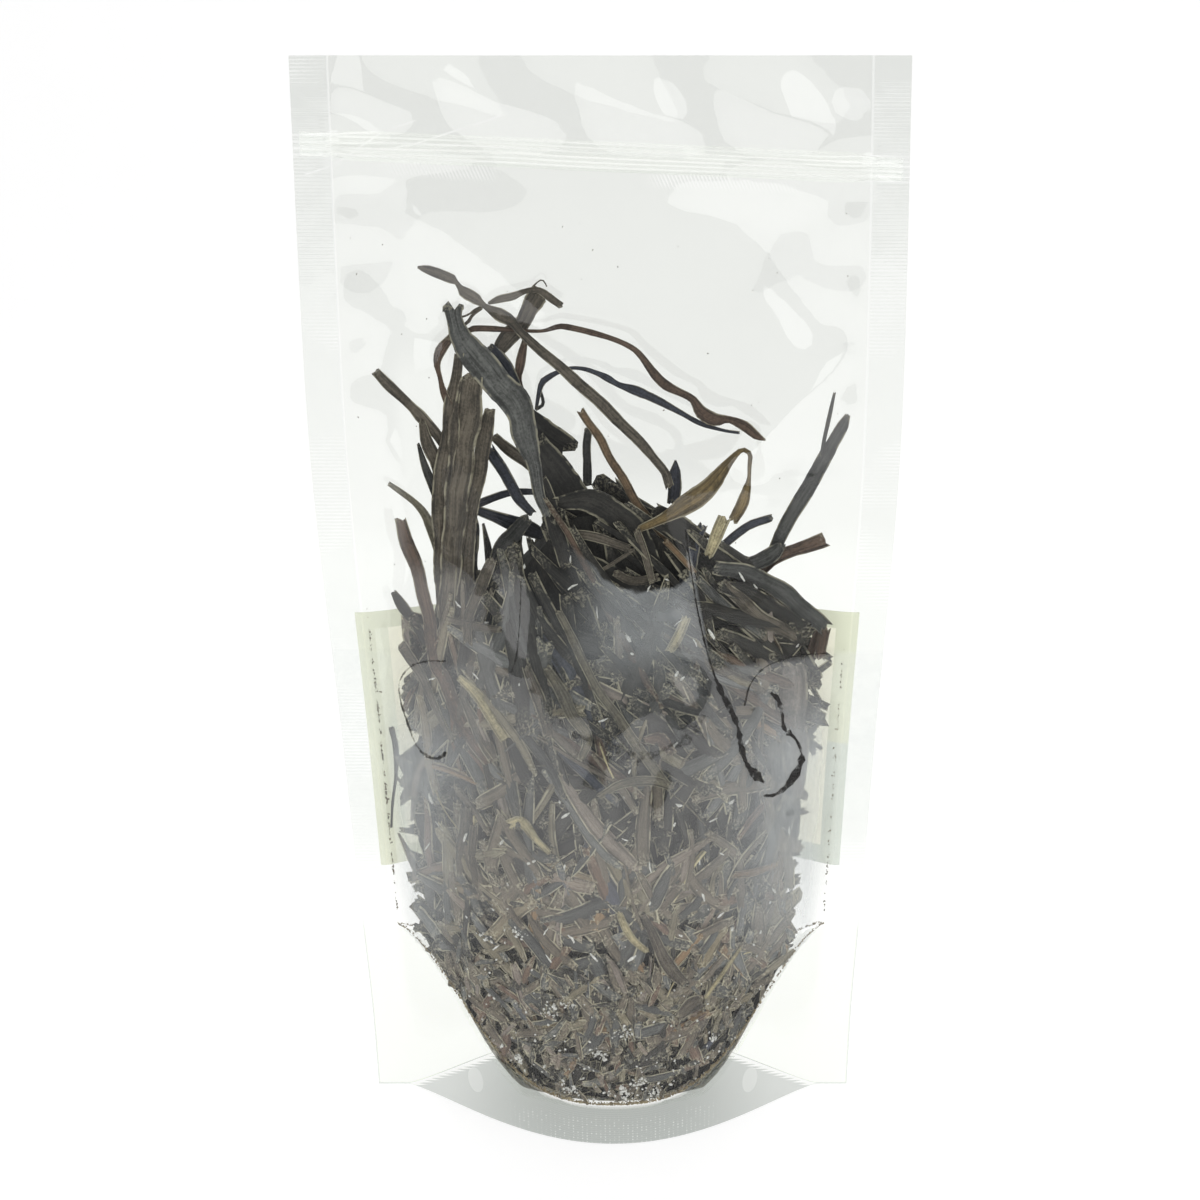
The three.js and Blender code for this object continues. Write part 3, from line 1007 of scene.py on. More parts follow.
def lay_pieces(points, side, s, z, depth, lean, pitch, roll, length, width, thick,
               bow=0.0, curl=0.0, twist=0.0, taper=0.25, cup=0.0, fray=0.3):
    """The points of each piece, in millimetres, as pieces by points by xyz."""
    u, v, w = (points[:, k][None, :] for k in range(3))

    def column(value):
        return np.broadcast_to(np.asarray(value, float), s.shape)[:, None]

    length, width, thick = column(length), column(width), column(thick)
    start = both_films(side, s, z)
    step = 0.5 * np.ones_like(s)
    right = unit(both_films(side, s + step, z) - both_films(side, s - step, z))
    up = unit(both_films(side, s, z + step) - both_films(side, s, z - step))
    out = -side[:, None] * np.cross(right, up)
    lean, pitch = np.radians(column(lean)), np.radians(column(pitch))
    along = np.cos(pitch) * (np.sin(lean) * right + np.cos(lean) * up) - np.sin(pitch) * out
    beside = unit(np.cos(lean) * right - np.sin(lean) * up)
    inward = np.cross(along, beside)
    phase = rng.uniform(0, 2 * np.pi, s.shape)[:, None]
    sway = length * (column(bow) * (w * w - 1 / 12) + 0.02 * np.sin(5 * w + phase))
    swell = length * (column(curl) * (w * w - 1 / 12) + 0.015 * np.sin(6 * w - 2 * phase))
    middle = (start - column(depth) * out)[:, None, :]
    middle = middle + along[:, None, :] * (length * w)[..., None]
    middle = middle + beside[:, None, :] * sway[..., None] + inward[:, None, :] * swell[..., None]
    turn = np.radians(column(roll)) + column(twist) * w
    room = 0.5 * width * np.abs(np.sin(turn)) + 0.5 * thick + 0.5 * np.abs(column(cup)) * width
    middle = keep_inside(middle, 0.35 + 1.15 * room)
    cosine, sine = np.cos(turn)[..., None], np.sin(turn)[..., None]
    across = cosine * beside[:, None, :] + sine * inward[:, None, :]
    through_it = cosine * inward[:, None, :] - sine * beside[:, None, :]
    taper = column(taper)
    broad = width * (1 - taper * np.maximum(0, 2 * w) ** 2)
    broad = broad * (1 - 0.6 * taper * np.maximum(0, -2 * w) ** 3)
    broad = broad * (1 + 0.06 * np.sin(9 * w + 3 * phase))
    rise = thick * v + column(cup) * broad * (4 * u * u - 0.5)
    torn = np.where(np.abs(w) > AT_END, column(fray), 0.02) * width
    torn = torn * rng.uniform(-1, 1, (len(s), u.size))
    body = middle + across * (u * broad)[..., None] + through_it * rise[..., None]
    return behind_film(body + along[:, None, :] * torn[..., None])


def join_pieces(name, shape, placed, tint, finish):
    """One object made of all the pieces of a kind, with the data its finish reads."""
    points, faces = shape
    count, each = placed.shape[:2]
    mesh = bpy.data.meshes.new(name)
    all_faces = [[k * each + corner for corner in face] for k in range(count) for face in faces]
    mesh.from_pydata((placed.reshape(-1, 3) * MM).tolist(), [], all_faces)
    start = rng.uniform(0, 40, count)[:, None]
    size = np.linalg.norm(placed[:, points[:, 2].argmax()] - placed[:, points[:, 2].argmin()], axis=-1)
    grain = np.stack([np.broadcast_to(points[:, 0] * 3, (count, each)) + start,
                      points[:, 2] * size[:, None] + start * 3], axis=-1).reshape(-1, 2)
    store_uv(mesh, "grain", grain)
    store(mesh, "tint", np.repeat(tint, each))
    store(mesh, "rim", np.tile(np.abs(points[:, 0]) * 2, count))
    store(mesh, "tip", np.tile(np.abs(points[:, 2]) > AT_END, count))
    mesh.materials.append(finish)
    piece = bpy.data.objects.new(name, mesh)
    bpy.context.scene.collection.objects.link(piece)
    deselect_all()
    piece.select_set(True)
    bpy.context.view_layer.objects.active = piece
    bpy.ops.object.shade_smooth_by_angle(angle=CRISP)
    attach(piece, "root")
    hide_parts("pouch")
    print(f"{name}: {count} pieces, {sum(len(f) - 2 for f in faces) * count} triangles")


# %% [markdown]
# ## The finish of dried seaweed
#
# Dried, the weed is almost black, but no two pieces are alike: some are brown or reddish,
# some slate or bluish, a few are bleached to straw. Fine ridges run along it, its edges
# and torn ends are paler, and salt dries on it as a white bloom. The pale edges are partly
# the weed's own and partly a painted highlight, where the edges catch the light. The tint
# number of each piece picks its colour from a ramp, and the rest follows the piece's own grain.

# %% Seaweed finish
TINTS = {"dark": 0.04, "slate": 0.19, "grey": 0.26, "blue": 0.35, "brown": 0.47, "red": 0.6,
         "mauve": 0.68, "orange": 0.76, "olive": 0.84, "amber": 0.91, "straw": 0.985}
# Painted shade: a piece lying under others is given a tint below DARKEST, for the shadow of the pieces
# over it.
DARKEST = 0.09  # a buried piece has a tint below this
TINT_STOPS = [
    (0.0, (0.026, 0.024, 0.021)), (0.1, (0.045, 0.042, 0.037)), (0.19, (0.072, 0.073, 0.070)),
    (0.26, (0.125, 0.127, 0.122)), (0.31, (0.09, 0.095, 0.11)), (0.35, (0.062, 0.068, 0.092)),
    (0.45, (0.112, 0.095, 0.074)), (0.52, (0.150, 0.128, 0.100)),
    (0.6, (0.120, 0.078, 0.056)), (0.68, (0.19, 0.165, 0.145)), (0.76, (0.20, 0.130, 0.072)),
    (0.84, (0.165, 0.148, 0.108)), (0.91, (0.190, 0.135, 0.058)), (1.0, (0.50, 0.44, 0.27)),
]
SALT_TOP = 52  # mm, salt has settled below this height


def dried_weed(name, light, streaky, salty=0.0):
    """Seaweed: light multiplies its colours, streaky is how much they change along the grain."""
    finish = Finish(name)
    where = finish.place()
    grain = finish.node("ShaderNodeUVMap", {"uv_map": "grain"})
    tint = finish.stored("tint")
    rim = finish.stored("rim")
    tip = finish.stored("tip")
    ridges = finish.noise(finish.stretched(grain, (1.6, 0.045, 1)), 1.6, 4.0, 0.7)
    blotches = finish.noise(where, 260.0, 3.0, 0.6)
    speckle = finish.noise(where, 1900.0, 3.0, 0.7)
    base = finish.ramp(tint, TINT_STOPS)
    shade = (ridges * 1.1 + blotches * 0.6 + speckle * 0.7).between(0.92, 1.5)
    dark_streak, pale_streak = light * (1 - streaky), light * (1 + streaky)
    darker = finish.mixed(shade, (dark_streak,) * 3, (pale_streak,) * 3)
    colour = finish.node("ShaderNodeMix", {"data_type": "RGBA", "blend_type": "MULTIPLY"},
                         {0: 1.0, 6: base, 7: darker}, out=2)
    shade_at_rim = rim.between(0.45, 0.7) * rim.between(0.92, 0.8) * 0.45
    colour = finish.mixed(shade_at_rim, colour, (0.01, 0.01, 0.01))
    # Pale edges and ends: partly the weed's own paler cut edges, partly a painted highlight where they
    # catch the light.
    pale_edge_and_highlight = (rim.between(0.8, 0.93) * blotches.between(0.42, 0.56) * 0.7
            + tip * speckle.between(0.48, 0.6) * 0.7)
    colour = finish.mixed(pale_edge_and_highlight, colour, (0.42 * light, 0.39 * light, 0.29 * light))
    if salty:
        height = finish.split(where)[2]
        bloom = finish.noise(where, 420.0, 5.0, 0.75).between(0.58, 0.66)
        low = height.between(SALT_TOP * MM, 0.5 * SALT_TOP * MM)
        colour = finish.mixed(bloom * low * salty, colour, (0.55, 0.54, 0.50))
    normal = finish.bump(ridges + speckle * 0.35, 0.3 * MM, 0.9)
    return finish.surface(finish.principled({
        "Base Color": colour, "Roughness": 0.62 - ridges * 0.15, "Normal": normal,
        "Specular IOR Level": 0.35}))


weed_on_top = dried_weed("dried_weed", 0.97, 0.6)
weed_with_salt = dried_weed("dried_weed_salted", 1.55, 0.3, salty=0.3)


def draw_tints(count, shares):
    """A tint for each piece, drawn from the named ones by their shares."""
    names, weights = zip(*shares.items())
    picked = rng.choice(len(names), count, p=np.array(weights) / sum(weights))
    return np.array([TINTS[name] for name in names])[picked] + rng.normal(0, 0.012, count)


print("tints:", ", ".join(TINTS))

# %% [markdown]
# ## The dark core of the heap
#
# Between the loose pieces one sees only shade. A closed lump a few millimetres inside the
# film stands for the middle of the heap, so that the loose pieces need to be no more than
# three or four deep. Its near-black colour, darker than any piece, is painted shade for the
# depths of the heap. It is a box whose points are moved, with a rough surface of its own
# made of ridges the size of the pieces.

# %% Outline of the heap
HEAP_TOP = [(-57, 98), (-48, 112), (-40, 119), (-30, 126), (-18, 136), (-9, 145), (0, 147), (8, 144),
            (17, 139), (26, 132), (35, 127), (45, 118), (51, 109), (57, 95)]
HEAP_LEFT = [(0, -57), (40, -52), (57, -52.5), (76, -52.5), (95, -49.5), (107, -47.5), (150, -44)]
HEAP_RIGHT = [(0, 57), (43, 48), (57, 49), (72, 49.5), (90, 50.5), (106, 51.5), (150, 44)]


def heap_top(s):
    return through(HEAP_TOP, s)


def inside_heap(s, z, edge):
    """True where a place is more than edge millimetres inside the heap's outline."""
    sides = (s > through(HEAP_LEFT, z) + edge) & (s < through(HEAP_RIGHT, z) - edge)
    return sides & (z > weld_line(s) + edge) & (z < heap_top(s) - edge)


# %% Core
CORE_HALF = 37.0
CORE_INSET = 4.6
CORE_BELOW_TOP = 9.0
CORE_ABOVE_WELD = 3.0
HANGING = (60, 20)  # from the first height down to the second, the core sags with the gusset


def core_finish():
    finish = Finish("core_crumbs_in_painted_shade")
    where = finish.place()
    shreds = finish.noise(finish.stretched(where, (1, 1, 0.6)), 420.0, 4.0, 0.7, 1.5)
    # Painted shade: the core is darker than any piece, for the shade deep in the heap.
    colour = finish.ramp(shreds, [(0.3, (0.010, 0.010, 0.009)), (0.55, (0.030, 0.028, 0.024)),
                                  (0.75, (0.07, 0.06, 0.045))])
    return finish.surface(finish.principled({
        "Base Color": colour, "Roughness": 0.9, "Normal": finish.bump(shreds, 1.5 * MM, 1.0)}))


deselect_all()
bpy.ops.mesh.primitive_cube_add(size=1)
core = bpy.context.object
core.name = "heap_core"
bpy.ops.object.mode_set(mode="EDIT")
for axis, cuts in ((0, 47), (2, 55), (1, 11)):
    select_edges(core.data, runs_along(axis))
    bpy.ops.mesh.subdivide(number_cuts=cuts)
bpy.ops.object.mode_set(mode="OBJECT")
block = read_points(core.data) * 2
s = block[:, 0] * CORE_HALF
top = heap_top(s) - CORE_BELOW_TOP
bottom = weld_line(s) + CORE_ABOVE_WELD
z = bottom + (top - bottom) * (block[:, 2] + 1) / 2
rough = (np.sin(s * 1.9 + z * 0.7) * np.sin(z * 1.7 - s * 0.5) + np.sin(s * 0.8 - z * 1.1)) * 0.5
side = np.where(block[:, 1] < 0, FRONT, BACK)
room = np.abs(both_films(side, s, z)[:, 1]) - CORE_INSET
y = block[:, 1] * np.maximum(0.6, room + rough * 0.8)
x = drawn_in(s, z)
floor_below = gusset_height(s, y)
sag = ease(*HANGING, z) * np.maximum(0, weld_line(s) - floor_below)
z = z - sag * (1 - (z - bottom) / np.maximum(1, top - bottom))
z = np.maximum(z, floor_below + 0.4) + rough * 0.5
write_points(core.data, np.stack([x, y, z], axis=-1) * MM)
core.data.materials.append(core_finish())
bpy.ops.object.shade_smooth_by_angle(angle=math.radians(60))
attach(core, "root")
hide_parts("pouch")
print("core:", [round(float(c), 3) for c in core.dimensions])

# %% [markdown]
# ## Strips, chips and crumbs
#
# As in a bag of cereal, small bits settle. So the size of the pieces is drawn from their
# height: crumbs at the foot, chips a centimetre long above them, and long strips on top.
# Their lean follows the heap too: they slide down to the right on the right, stand
# upright on the left, and lie along the U of the gusset near the foot.

# %% Drawing sizes and leans
LEAN_AT_TOP = [(-57, 6), (-30, 4), (-12, -28), (8, -42), (30, -55), (57, -38)]
LEAN_AT_FOOT = [(-57, -38), (-25, -26), (0, 10), (25, 30), (57, 40)]


def draw_places(count, low, high, edge):
    """Places spread evenly over the heap between two heights."""
    s = rng.uniform(-INNER, INNER, 12 * count)
    z = rng.uniform(low, high, 12 * count)
    inside = np.flatnonzero(inside_heap(s, z, edge))[:count]
    return s[inside], z[inside]


def draw_lean(s, z, spread):
    share = ease(52, 100, z)
    settled = through(LEAN_AT_TOP, s) * share + through(LEAN_AT_FOOT, s) * (1 - share)
    return settled + rng.normal(0, 1, len(s)) * spread


def draw_depth(s, z, deepest):
    """Depths behind the film: a quarter of the pieces lie against it, the others under them."""
    on_top = rng.uniform(0, 1, len(s)) < 0.27
    depth = np.where(on_top, rng.uniform(0.9, 1.9, len(s)), rng.uniform(2.6, 2.6 + deepest, len(s)))
    behind_window = (s > -12) & (s < 19) & (z > HAZE_WINDOW[1] - 2)
    return depth + np.where(behind_window, 3.0, 0.0)


def inside_outline(placed, overhang):
    """True for each piece that stays inside the heap's outline but for a small overhang."""
    allowed = rng.exponential(overhang, len(placed))[:, None]
    s = flat_place(placed[..., 0], placed[..., 2])
    loose = 0.78 * ease(35, 50, np.abs(s).mean(axis=1)) * ease(45, 60, placed[..., 2].mean(axis=1))
    return inside_heap(s, placed[..., 2], -allowed).all(axis=1) & (rng.uniform(0, 1, len(s)) > loose)


def scatter(name, shape, count, low, high, edge, length, width, thick, deepest, spread,
            shares, finish, overhang=0.8, **form):
    """Pieces of a kind between two heights; length and width are given by height."""
    s, z = draw_places(count, low, high, edge)
    count = len(s)
    size = np.exp(rng.normal(0, 0.28, count))
    depth = draw_depth(s, z, deepest)
    buried = depth > 2
    placed = lay_pieces(
        shape[0], rng.choice([FRONT, BACK], count), s, z, depth, draw_lean(s, z, spread),
        rng.normal(0, 3, count) * (1 + 2 * buried), rng.normal(0, 13, count) * (1 + buried),
        through(length, z) * size, through(width, z) * np.exp(rng.normal(0, 0.25, count)),
        thick * rng.uniform(0.7, 1.3, count), bow=rng.normal(0, 0.10, count),
        curl=rng.normal(0, 0.08, count), twist=rng.normal(0, 0.5, count),
        taper=rng.uniform(0, 0.75, count), **form)
    # Painted shade: buried pieces take the darkest tints, for the shadow of the pieces over them.
    tint = np.where(buried, rng.uniform(0, DARKEST, count), draw_tints(count, shares))
    kept = inside_outline(placed, overhang)
    join_pieces(name, shape, placed[kept], tint[kept], finish)


MIXED = {"dark": 2.5, "slate": 5, "grey": 1.5, "blue": 0.2, "brown": 8, "red": 1.5, "mauve": 1.5,
         "orange": 0.5, "olive": 2}
scatter("long_strips", STRIP, 520, 84, 142, 2,
        [(84, 24), (110, 30), (146, 34)], [(84, 2.8), (146, 3.2)], 0.7, 6, 16,
        {"dark": 8, "slate": 3, "blue": 0.3, "brown": 4, "red": 2}, weed_on_top, overhang=2.0, cup=0.12)
scatter("broken_strips", STRIP, 800, 42, 112, 1.5,
        [(42, 14), (70, 19), (106, 25)], [(42, 2.8), (106, 3.7)], 0.6, 5, 46,
        MIXED, weed_with_salt, overhang=1.4, cup=0.12)
scatter("chips", CHIP, 1700, 12, 64, 1,
        [(12, 6.5), (45, 11), (64, 14)], [(12, 2.0), (64, 3.0)], 0.55, 4, 58,
        MIXED, weed_with_salt, overhang=0.7, cup=0.1)
scatter("crumbs", CRUMB, 3000, 8, 38, 0.3,
        [(8, 2.4), (25, 4.0), (38, 6)], [(8, 1.1), (38, 1.8)], 0.5, 4, 60,
        {**MIXED, "dark": 5, "straw": 0.3}, weed_with_salt, overhang=0.35)
scatter("stems", STEM, 260, 30, 114, 2,
        [(30, 9), (70, 15), (122, 28)], [(30, 1.4), (122, 2.0)], 1.7, 4, 28,
        {**MIXED, "straw": 0.8, "orange": 1.5}, weed_with_salt, fray=0.12)
scatter("fibres", FIBRE, 200, 24, 112, 2,
        [(24, 7), (80, 14), (112, 18)], [(24, 0.35), (112, 0.45)], 0.35, 2, 60,
        {"olive": 2, "straw": 1, "slate": 2, "mauve": 2}, weed_with_salt)

# %% [markdown]
# ## The long pieces on top
#
# The strips that stand out of the heap give the pouch its look, so each is laid one by one.
# A strip is given by a few places along it, with its width there. The share says where it
# lies between the films: 1 is against the front, -1 against the back. Widths that shrink
# and grow again are where a ribbon turns over.

# %% Routes of the long pieces
LONG_PIECES = [
    # name, tint, share of the depth, (s, z, width) along it in millimetres
    ("curled_ribbon", "brown", 0.8, [(-39.5, 191, 0.5), (-37.5, 190.5, 1.8), (-32, 188.5, 2.1),
        (-31, 187.5, 0.7), (-30, 186, 2.2), (-27.5, 184.5, 2.5), (-25.5, 183, 1.2), (-22, 181, 2.9),
        (-19.5, 179.5, 2.2), (-18, 177.5, 1.9), (-0.5, 162, 2.6), (12.5, 148.5, 1.9), (14, 144.5, 1.9)]),
    ("broad_ribbon", "grey", 0.9, [(-32, 183, 4.7), (-32, 180.5, 3.4), (-31, 177, 4.4),
        (-28.5, 173.5, 6.2), (-26, 170, 6.4), (-23, 166.5, 6.5), (-20, 163.5, 6.5), (-18.5, 160, 6.2),
        (-17.5, 156, 5.9), (-16.5, 152.5, 4.4), (-15.5, 148.5, 3.1), (-14.5, 143, 2.5),
        (-13, 138.5, 1.9)]),
    ("torn_stalk", "brown", 0.1, [(-13.5, 185.5, 4.4), (-15.5, 182.5, 3.9), (-17.5, 179, 3.5),
        (-20, 176.5, 3.9), (-22, 174, 3.4), (-23, 172, 1.9)]),
    ("blue_blade", "blue", 0.3, [(-24.5, 174, 1.9), (-23, 172, 4), (-21.5, 170, 4), (-20, 167.5, 2.8),
        (-19, 165, 2.2)]),
    ("curl", "brown", 0.5, [(-24.5, 183.5, 0.6), (-22, 184.5, 1.8), (-19.5, 185, 1.9), (-17, 186, 1.2),
        (-14.5, 186.5, 1.1), (-13, 186, 1.6), (-11, 184.5, 1.7), (-9, 183, 1.6)]),
    ("curl_thread", "brown", 0.5, [(-15, 187, 0.4), (-14, 188, 0.3), (-13, 188.5, 0.3), (-12.5, 188, 0.3),
        (-12, 187, 0.2)]),
    ("thread_a", "brown", 0.6, [(-32, 180.5, 0.4), (-30.5, 180.5, 0.5), (-29, 181, 0.4),
        (-27.5, 182, 0.7), (-25.5, 183, 0.6)]),
    ("thread_b", "brown", 0.6, [(-30.5, 178.5, 0.6), (-29, 179.5, 0.8), (-28, 181, 0.7),
        (-26, 182.5, 0.7)]),
    ("thread_c", "red", 0.4, [(-30, 177, 0.9), (-27.5, 178, 1.4), (-13.5, 177.5, 0.7), (-8.5, 178.5, 1.3),
        (6, 174, 1.2), (12.5, 166.5, 2.1), (19, 163, 1.6), (21, 160, 2.8), (24, 158.5, 3.1),
        (27, 158.5, 1.6), (30.5, 157, 2.2), (33, 155, 1.9), (35, 154, 0.4)]),
    ("side_loop", "red", 0.5, [(-33, 176, 1.6), (-35, 173.5, 2.4), (-36, 170.5, 1.5), (-35.5, 167.5, 1),
        (-35, 165, 1.4), (-34, 162.5, 1.9), (-33, 160, 1.6)]),
    ("red_flake", "red", 0.2, [(-17, 175.5, 1.2), (-17.5, 173, 1.8), (-18, 170.5, 2.1),
        (-18.5, 167.5, 1.4), (-18, 165.5, 0.8), (-17, 163, 0.9), (-16, 160.5, 0.8)]),
    ("torn_leaf", "dark", 0, [(-17.5, 160.5, 2), (-15, 157, 5.5), (-11.5, 153.8, 7), (-7.6, 151.5, 5.8)]),
    ("leaf_brown", "amber", 0.2, [(-13.5, 149.5, 2.2), (-10, 147, 2.4), (-6, 144.3, 2)]),
    ("leaf_mass", "dark", 0.3, [(-15, 153, 5), (-12, 149, 7), (-9, 144, 8), (-5, 140, 8), (2, 137, 7)]),
    ("stub", "slate", -0.3, [(-3.5, 155.5, 1.7), (-4, 151.5, 1.9), (-4, 148, 1.9), (-4, 143, 1.9)]),
    ("orange_stem", "orange", 0.5, [(-5, 160.5, 1.8), (-3.5, 158, 1.9), (-1, 154.5, 1.9), (1, 150.5, 1.9),
        (3.5, 146.5, 1.9), (7, 140.5, 1.9), (10.5, 136, 1.7), (13.5, 132.5, 1.6)]),
    ("looped_a", "blue", -0.2, [(-15, 160, 0.6), (-14, 164.5, 1.1), (-13, 166.5, 1.4), (-8, 169, 0.8),
        (-4.5, 169, 0.9), (-1.5, 168, 1.1), (0.5, 167, 1.6), (3, 165.5, 1.2), (7.5, 164, 2.1),
        (16.5, 159.5, 1.2), (21, 157, 1.1), (26, 155.5, 0.7), (29.5, 155, 0.7)]),
    ("looped_b", "slate", -0.3, [(-15, 160, 0.8), (-13.5, 161, 0.8), (-13.5, 162.5, 0.7),
        (-14, 164, 0.7)]),
    ("bundle_mid", "brown", 0.75, [(-28.4, 167.4, 4.6), (-28.8, 165, 5.4), (-29.5, 161, 6.6),
        (-30.5, 156, 6.8), (-31.5, 149.5, 5.9), (-32.5, 142.5, 5.7), (-33.5, 136, 5.2), (-34.5, 129, 5),
        (-35.5, 122.5, 4.5), (-36.5, 116, 4.1), (-37, 109.5, 3.2)]),
    ("bundle_left", "brown", 0.6, [(-31, 172.5, 2.1), (-32, 167, 2.5), (-33, 161.5, 3.6),
        (-33.5, 156, 3.9), (-35, 149, 4.3), (-36, 142.5, 4.7), (-36.5, 135.5, 4.3), (-37, 129, 3.6),
        (-37.5, 122, 3.2), (-37.5, 115.5, 2.7)]),
    ("bundle_right", "brown", 0.65, [(-24.8, 160.6, 2.4), (-25.6, 157.5, 3), (-26.5, 153, 3.4),
        (-27.5, 147.5, 3), (-29, 142, 3), (-30.5, 136, 3.2), (-31.5, 129, 3.8), (-32.5, 122.5, 4.5),
        (-33, 116.5, 4.1), (-34, 109.5, 3.2)]),
    ("bundle_back", "slate", 0.2, [(-31, 150.5, 5.4), (-31.5, 141.5, 6.3), (-32, 133, 6.8),
        (-33, 123.5, 7.2), (-34, 114.5, 6.8)]),
    ("left_stem", "brown", 0.3, [(-49.5, 168.5, 2), (-46.5, 165.5, 2.3), (-42.5, 161.5, 2.1),
        (-39.5, 158.5, 2.8), (-37, 155.5, 2.4), (-35, 152, 2)]),
    ("frayed_a", "brown", 0.4, [(-40, 158, 1.4), (-39, 153.5, 2.7), (-37, 148.5, 3), (-36, 141.5, 3),
        (-35, 135.5, 2.3)]),
    ("frayed_b", "slate", 0.3, [(-41, 153, 0.6), (-40, 149, 1.5), (-38.5, 144.5, 2), (-37, 140, 2.3),
        (-36, 135.5, 1.8)]),
    ("left_twig", "olive", 0.3, [(-48, 144, 1), (-45, 142, 1.3), (-42.5, 140, 1.4), (-40.5, 137.5, 2),
        (-38.5, 133, 2.5), (-37.5, 128, 2.3)]),
    ("red_stem", "red", 1, [(-46, 136.5, 2.6), (-45, 132, 3.2), (-43, 126, 3.2), (-42, 121, 3),
        (-41, 115.5, 3), (-40.5, 109.5, 2.8), (-40, 104, 3), (-38.5, 102, 3.2), (-37, 98, 3.3),
        (-35, 92.5, 3.4), (-31.5, 88, 3.4), (-28.5, 84.5, 2.7)]),
    ("left_chip", "dark", 0.2, [(-49, 119.5, 1.4), (-47.5, 117, 2.4), (-45.5, 114, 2.4),
        (-43.5, 110.5, 2.4), (-42, 107, 2)]),
    ("blue_strip", "blue", -0.1, [(-25.5, 151.5, 2.5), (-23, 147.5, 2.8), (-21, 143.5, 2.5),
        (-19, 140, 2.4), (-16.5, 137, 1.8)]),
    ("blue_cross", "blue", -0.3, [(-29.5, 138.5, 1.8), (-24.5, 140.5, 1.9), (-20.5, 141.5, 1.6),
        (-15.5, 141.5, 1.4)]),
    ("blue_broad", "blue", -0.4, [(-29.5, 137.5, 1.8), (-25.5, 136, 2.8), (-22, 134.5, 3.7),
        (-17.5, 133, 3.8), (-14, 131, 2.7)]),
    ("brown_brace", "brown", -0.2, [(-24.5, 154.5, 2.1), (-21, 151, 2.7), (-17, 148, 2.3),
        (-14, 144.5, 1.8)]),
    ("slate_foot", "slate", -0.1, [(-17.5, 136, 2.7), (-20.5, 132.5, 3.8), (-23.5, 129.5, 3.6),
        (-25, 126, 3.2)]),
    ("low_brown", "brown", 1, [(-25.5, 129, 2.1), (-27.5, 124.5, 2.7), (-30, 119.5, 2.4),
        (-31.5, 115.5, 2.3), (-32, 110, 2.1)]),
    ("bud", "blue", 0, [(15.5, 149, 0.4), (15.5, 146.5, 2.4), (15.5, 143, 3), (15, 139.5, 2.7)]),
    ("olive_leaf", "amber", 0.85, [(7, 136, 1.4), (13, 138.5, 2.7), (16.5, 140.5, 4.4), (20, 142.5, 5.2),
        (22.5, 144.5, 4.4), (28.5, 151.5, 1.3), (30, 152.5, 1), (31.5, 151.5, 1), (31.5, 149, 0.9),
        (31.5, 146, 0.9), (31, 143.5, 2), (30, 140.5, 2.6), (28, 137, 2.3)]),
    ("straw_stub", "straw", 0.95, [(26, 137.5, 2.8), (24.5, 134, 2.8), (22.5, 130, 2)]),
    ("grey_blade", "blue", 0.7, [(21.5, 136, 1.8), (19.5, 132, 3.2), (18.5, 127.5, 3.3),
        (17.5, 122.5, 2.7)]),
    ("blue_twig", "blue", 0.2, [(37, 136.5, 1.8), (32.5, 135, 1.8), (29.5, 133, 2), (26.5, 130.5, 1.8)]),
    ("right_stem", "slate", 0.4, [(53, 159, 1.1), (52, 156.5, 2.6), (49.5, 152, 3), (46.5, 146, 3.3),
        (42.5, 139, 3.3), (39, 132.5, 2.9), (37.5, 128.5, 2.7)]),
    ("right_thread", "slate", 0.3, [(50, 164, 0.6), (49, 159, 0.9), (48, 153.5, 0.9), (47.5, 150, 0.7)]),
    ("right_twig", "red", 0.5, [(49, 131.5, 3.3), (44.5, 130, 3), (41, 129, 2.7), (37.5, 127.5, 2.7),
        (34.5, 125, 2.7)]),
    ("grey_joint", "slate", 0.6, [(39.5, 131, 1.8), (37.5, 129, 3.6), (34.5, 127.5, 3.6),
        (30.5, 126.5, 2.7)]),
    ("broad_right", "slate", 1, [(24.5, 127.5, 3.4), (31, 126, 3.8), (38, 122.3, 4), (45, 116.5, 4),
        (50.6, 111.5, 3.4)]),
    ("broad_right_low", "dark", 1, [(25, 123.5, 2.6), (31, 121.8, 3.6), (38, 117.5, 3.6), (46, 112, 3)]),
    ("corner_cut", "red", 1, [(50.8, 111.5, 2.4), (50.2, 108, 2.6), (49.6, 105, 2.6)]),
    ("brown_right", "brown", 1, [(26, 124, 2.3), (31, 119.5, 3), (35.5, 115.5, 3), (39.5, 113, 2.7),
        (43.5, 110.5, 2.3)]),
    ("brown_fold", "red", 0.6, [(33, 115, 2.3), (36, 112, 3.2), (38.5, 108, 3.2), (40.5, 103.5, 2.7)]),
    ("window_thread", "orange", 0.85, [(13, 133.4, 1.3), (16.3, 130, 1.4), (19.6, 126.6, 1.2)]),
    ("window_leaf", "dark", 0.72, [(-11, 141, 3), (-5, 141.8, 5.2), (0, 140.5, 6), (5, 136, 6),
        (8.5, 131.5, 5), (10.5, 127, 3.5)]),
    ("window_column", "dark", 0.8, [(-14.5, 146.5, 2.8), (-12.5, 141, 3.6), (-11, 135, 3.6),
        (-9, 128, 3)]),
    ("window_strip", "brown", 0.8, [(-8.2, 135, 1.6), (-1.5, 133.8, 2.1), (5.5, 131.5, 1.6)]),
    ("window_twig", "brown", 0.84, [(-4.5, 125.2, 0.7), (0.5, 128, 0.8), (6.2, 131.6, 0.7)]),
    ("window_stem", "brown", 0.86, [(6.8, 136, 1.6), (8, 132.5, 1.8), (10.2, 124.5, 1.4)]),
    ("window_right", "dark", 0.7, [(10.5, 140, 3), (14, 137, 5), (18, 134.5, 5.5), (21.5, 132, 4)]),
    ("window_level", "dark", 0.75, [(-9, 130, 3), (-2, 127, 5), (5, 122.5, 6), (11, 118.5, 5)]),
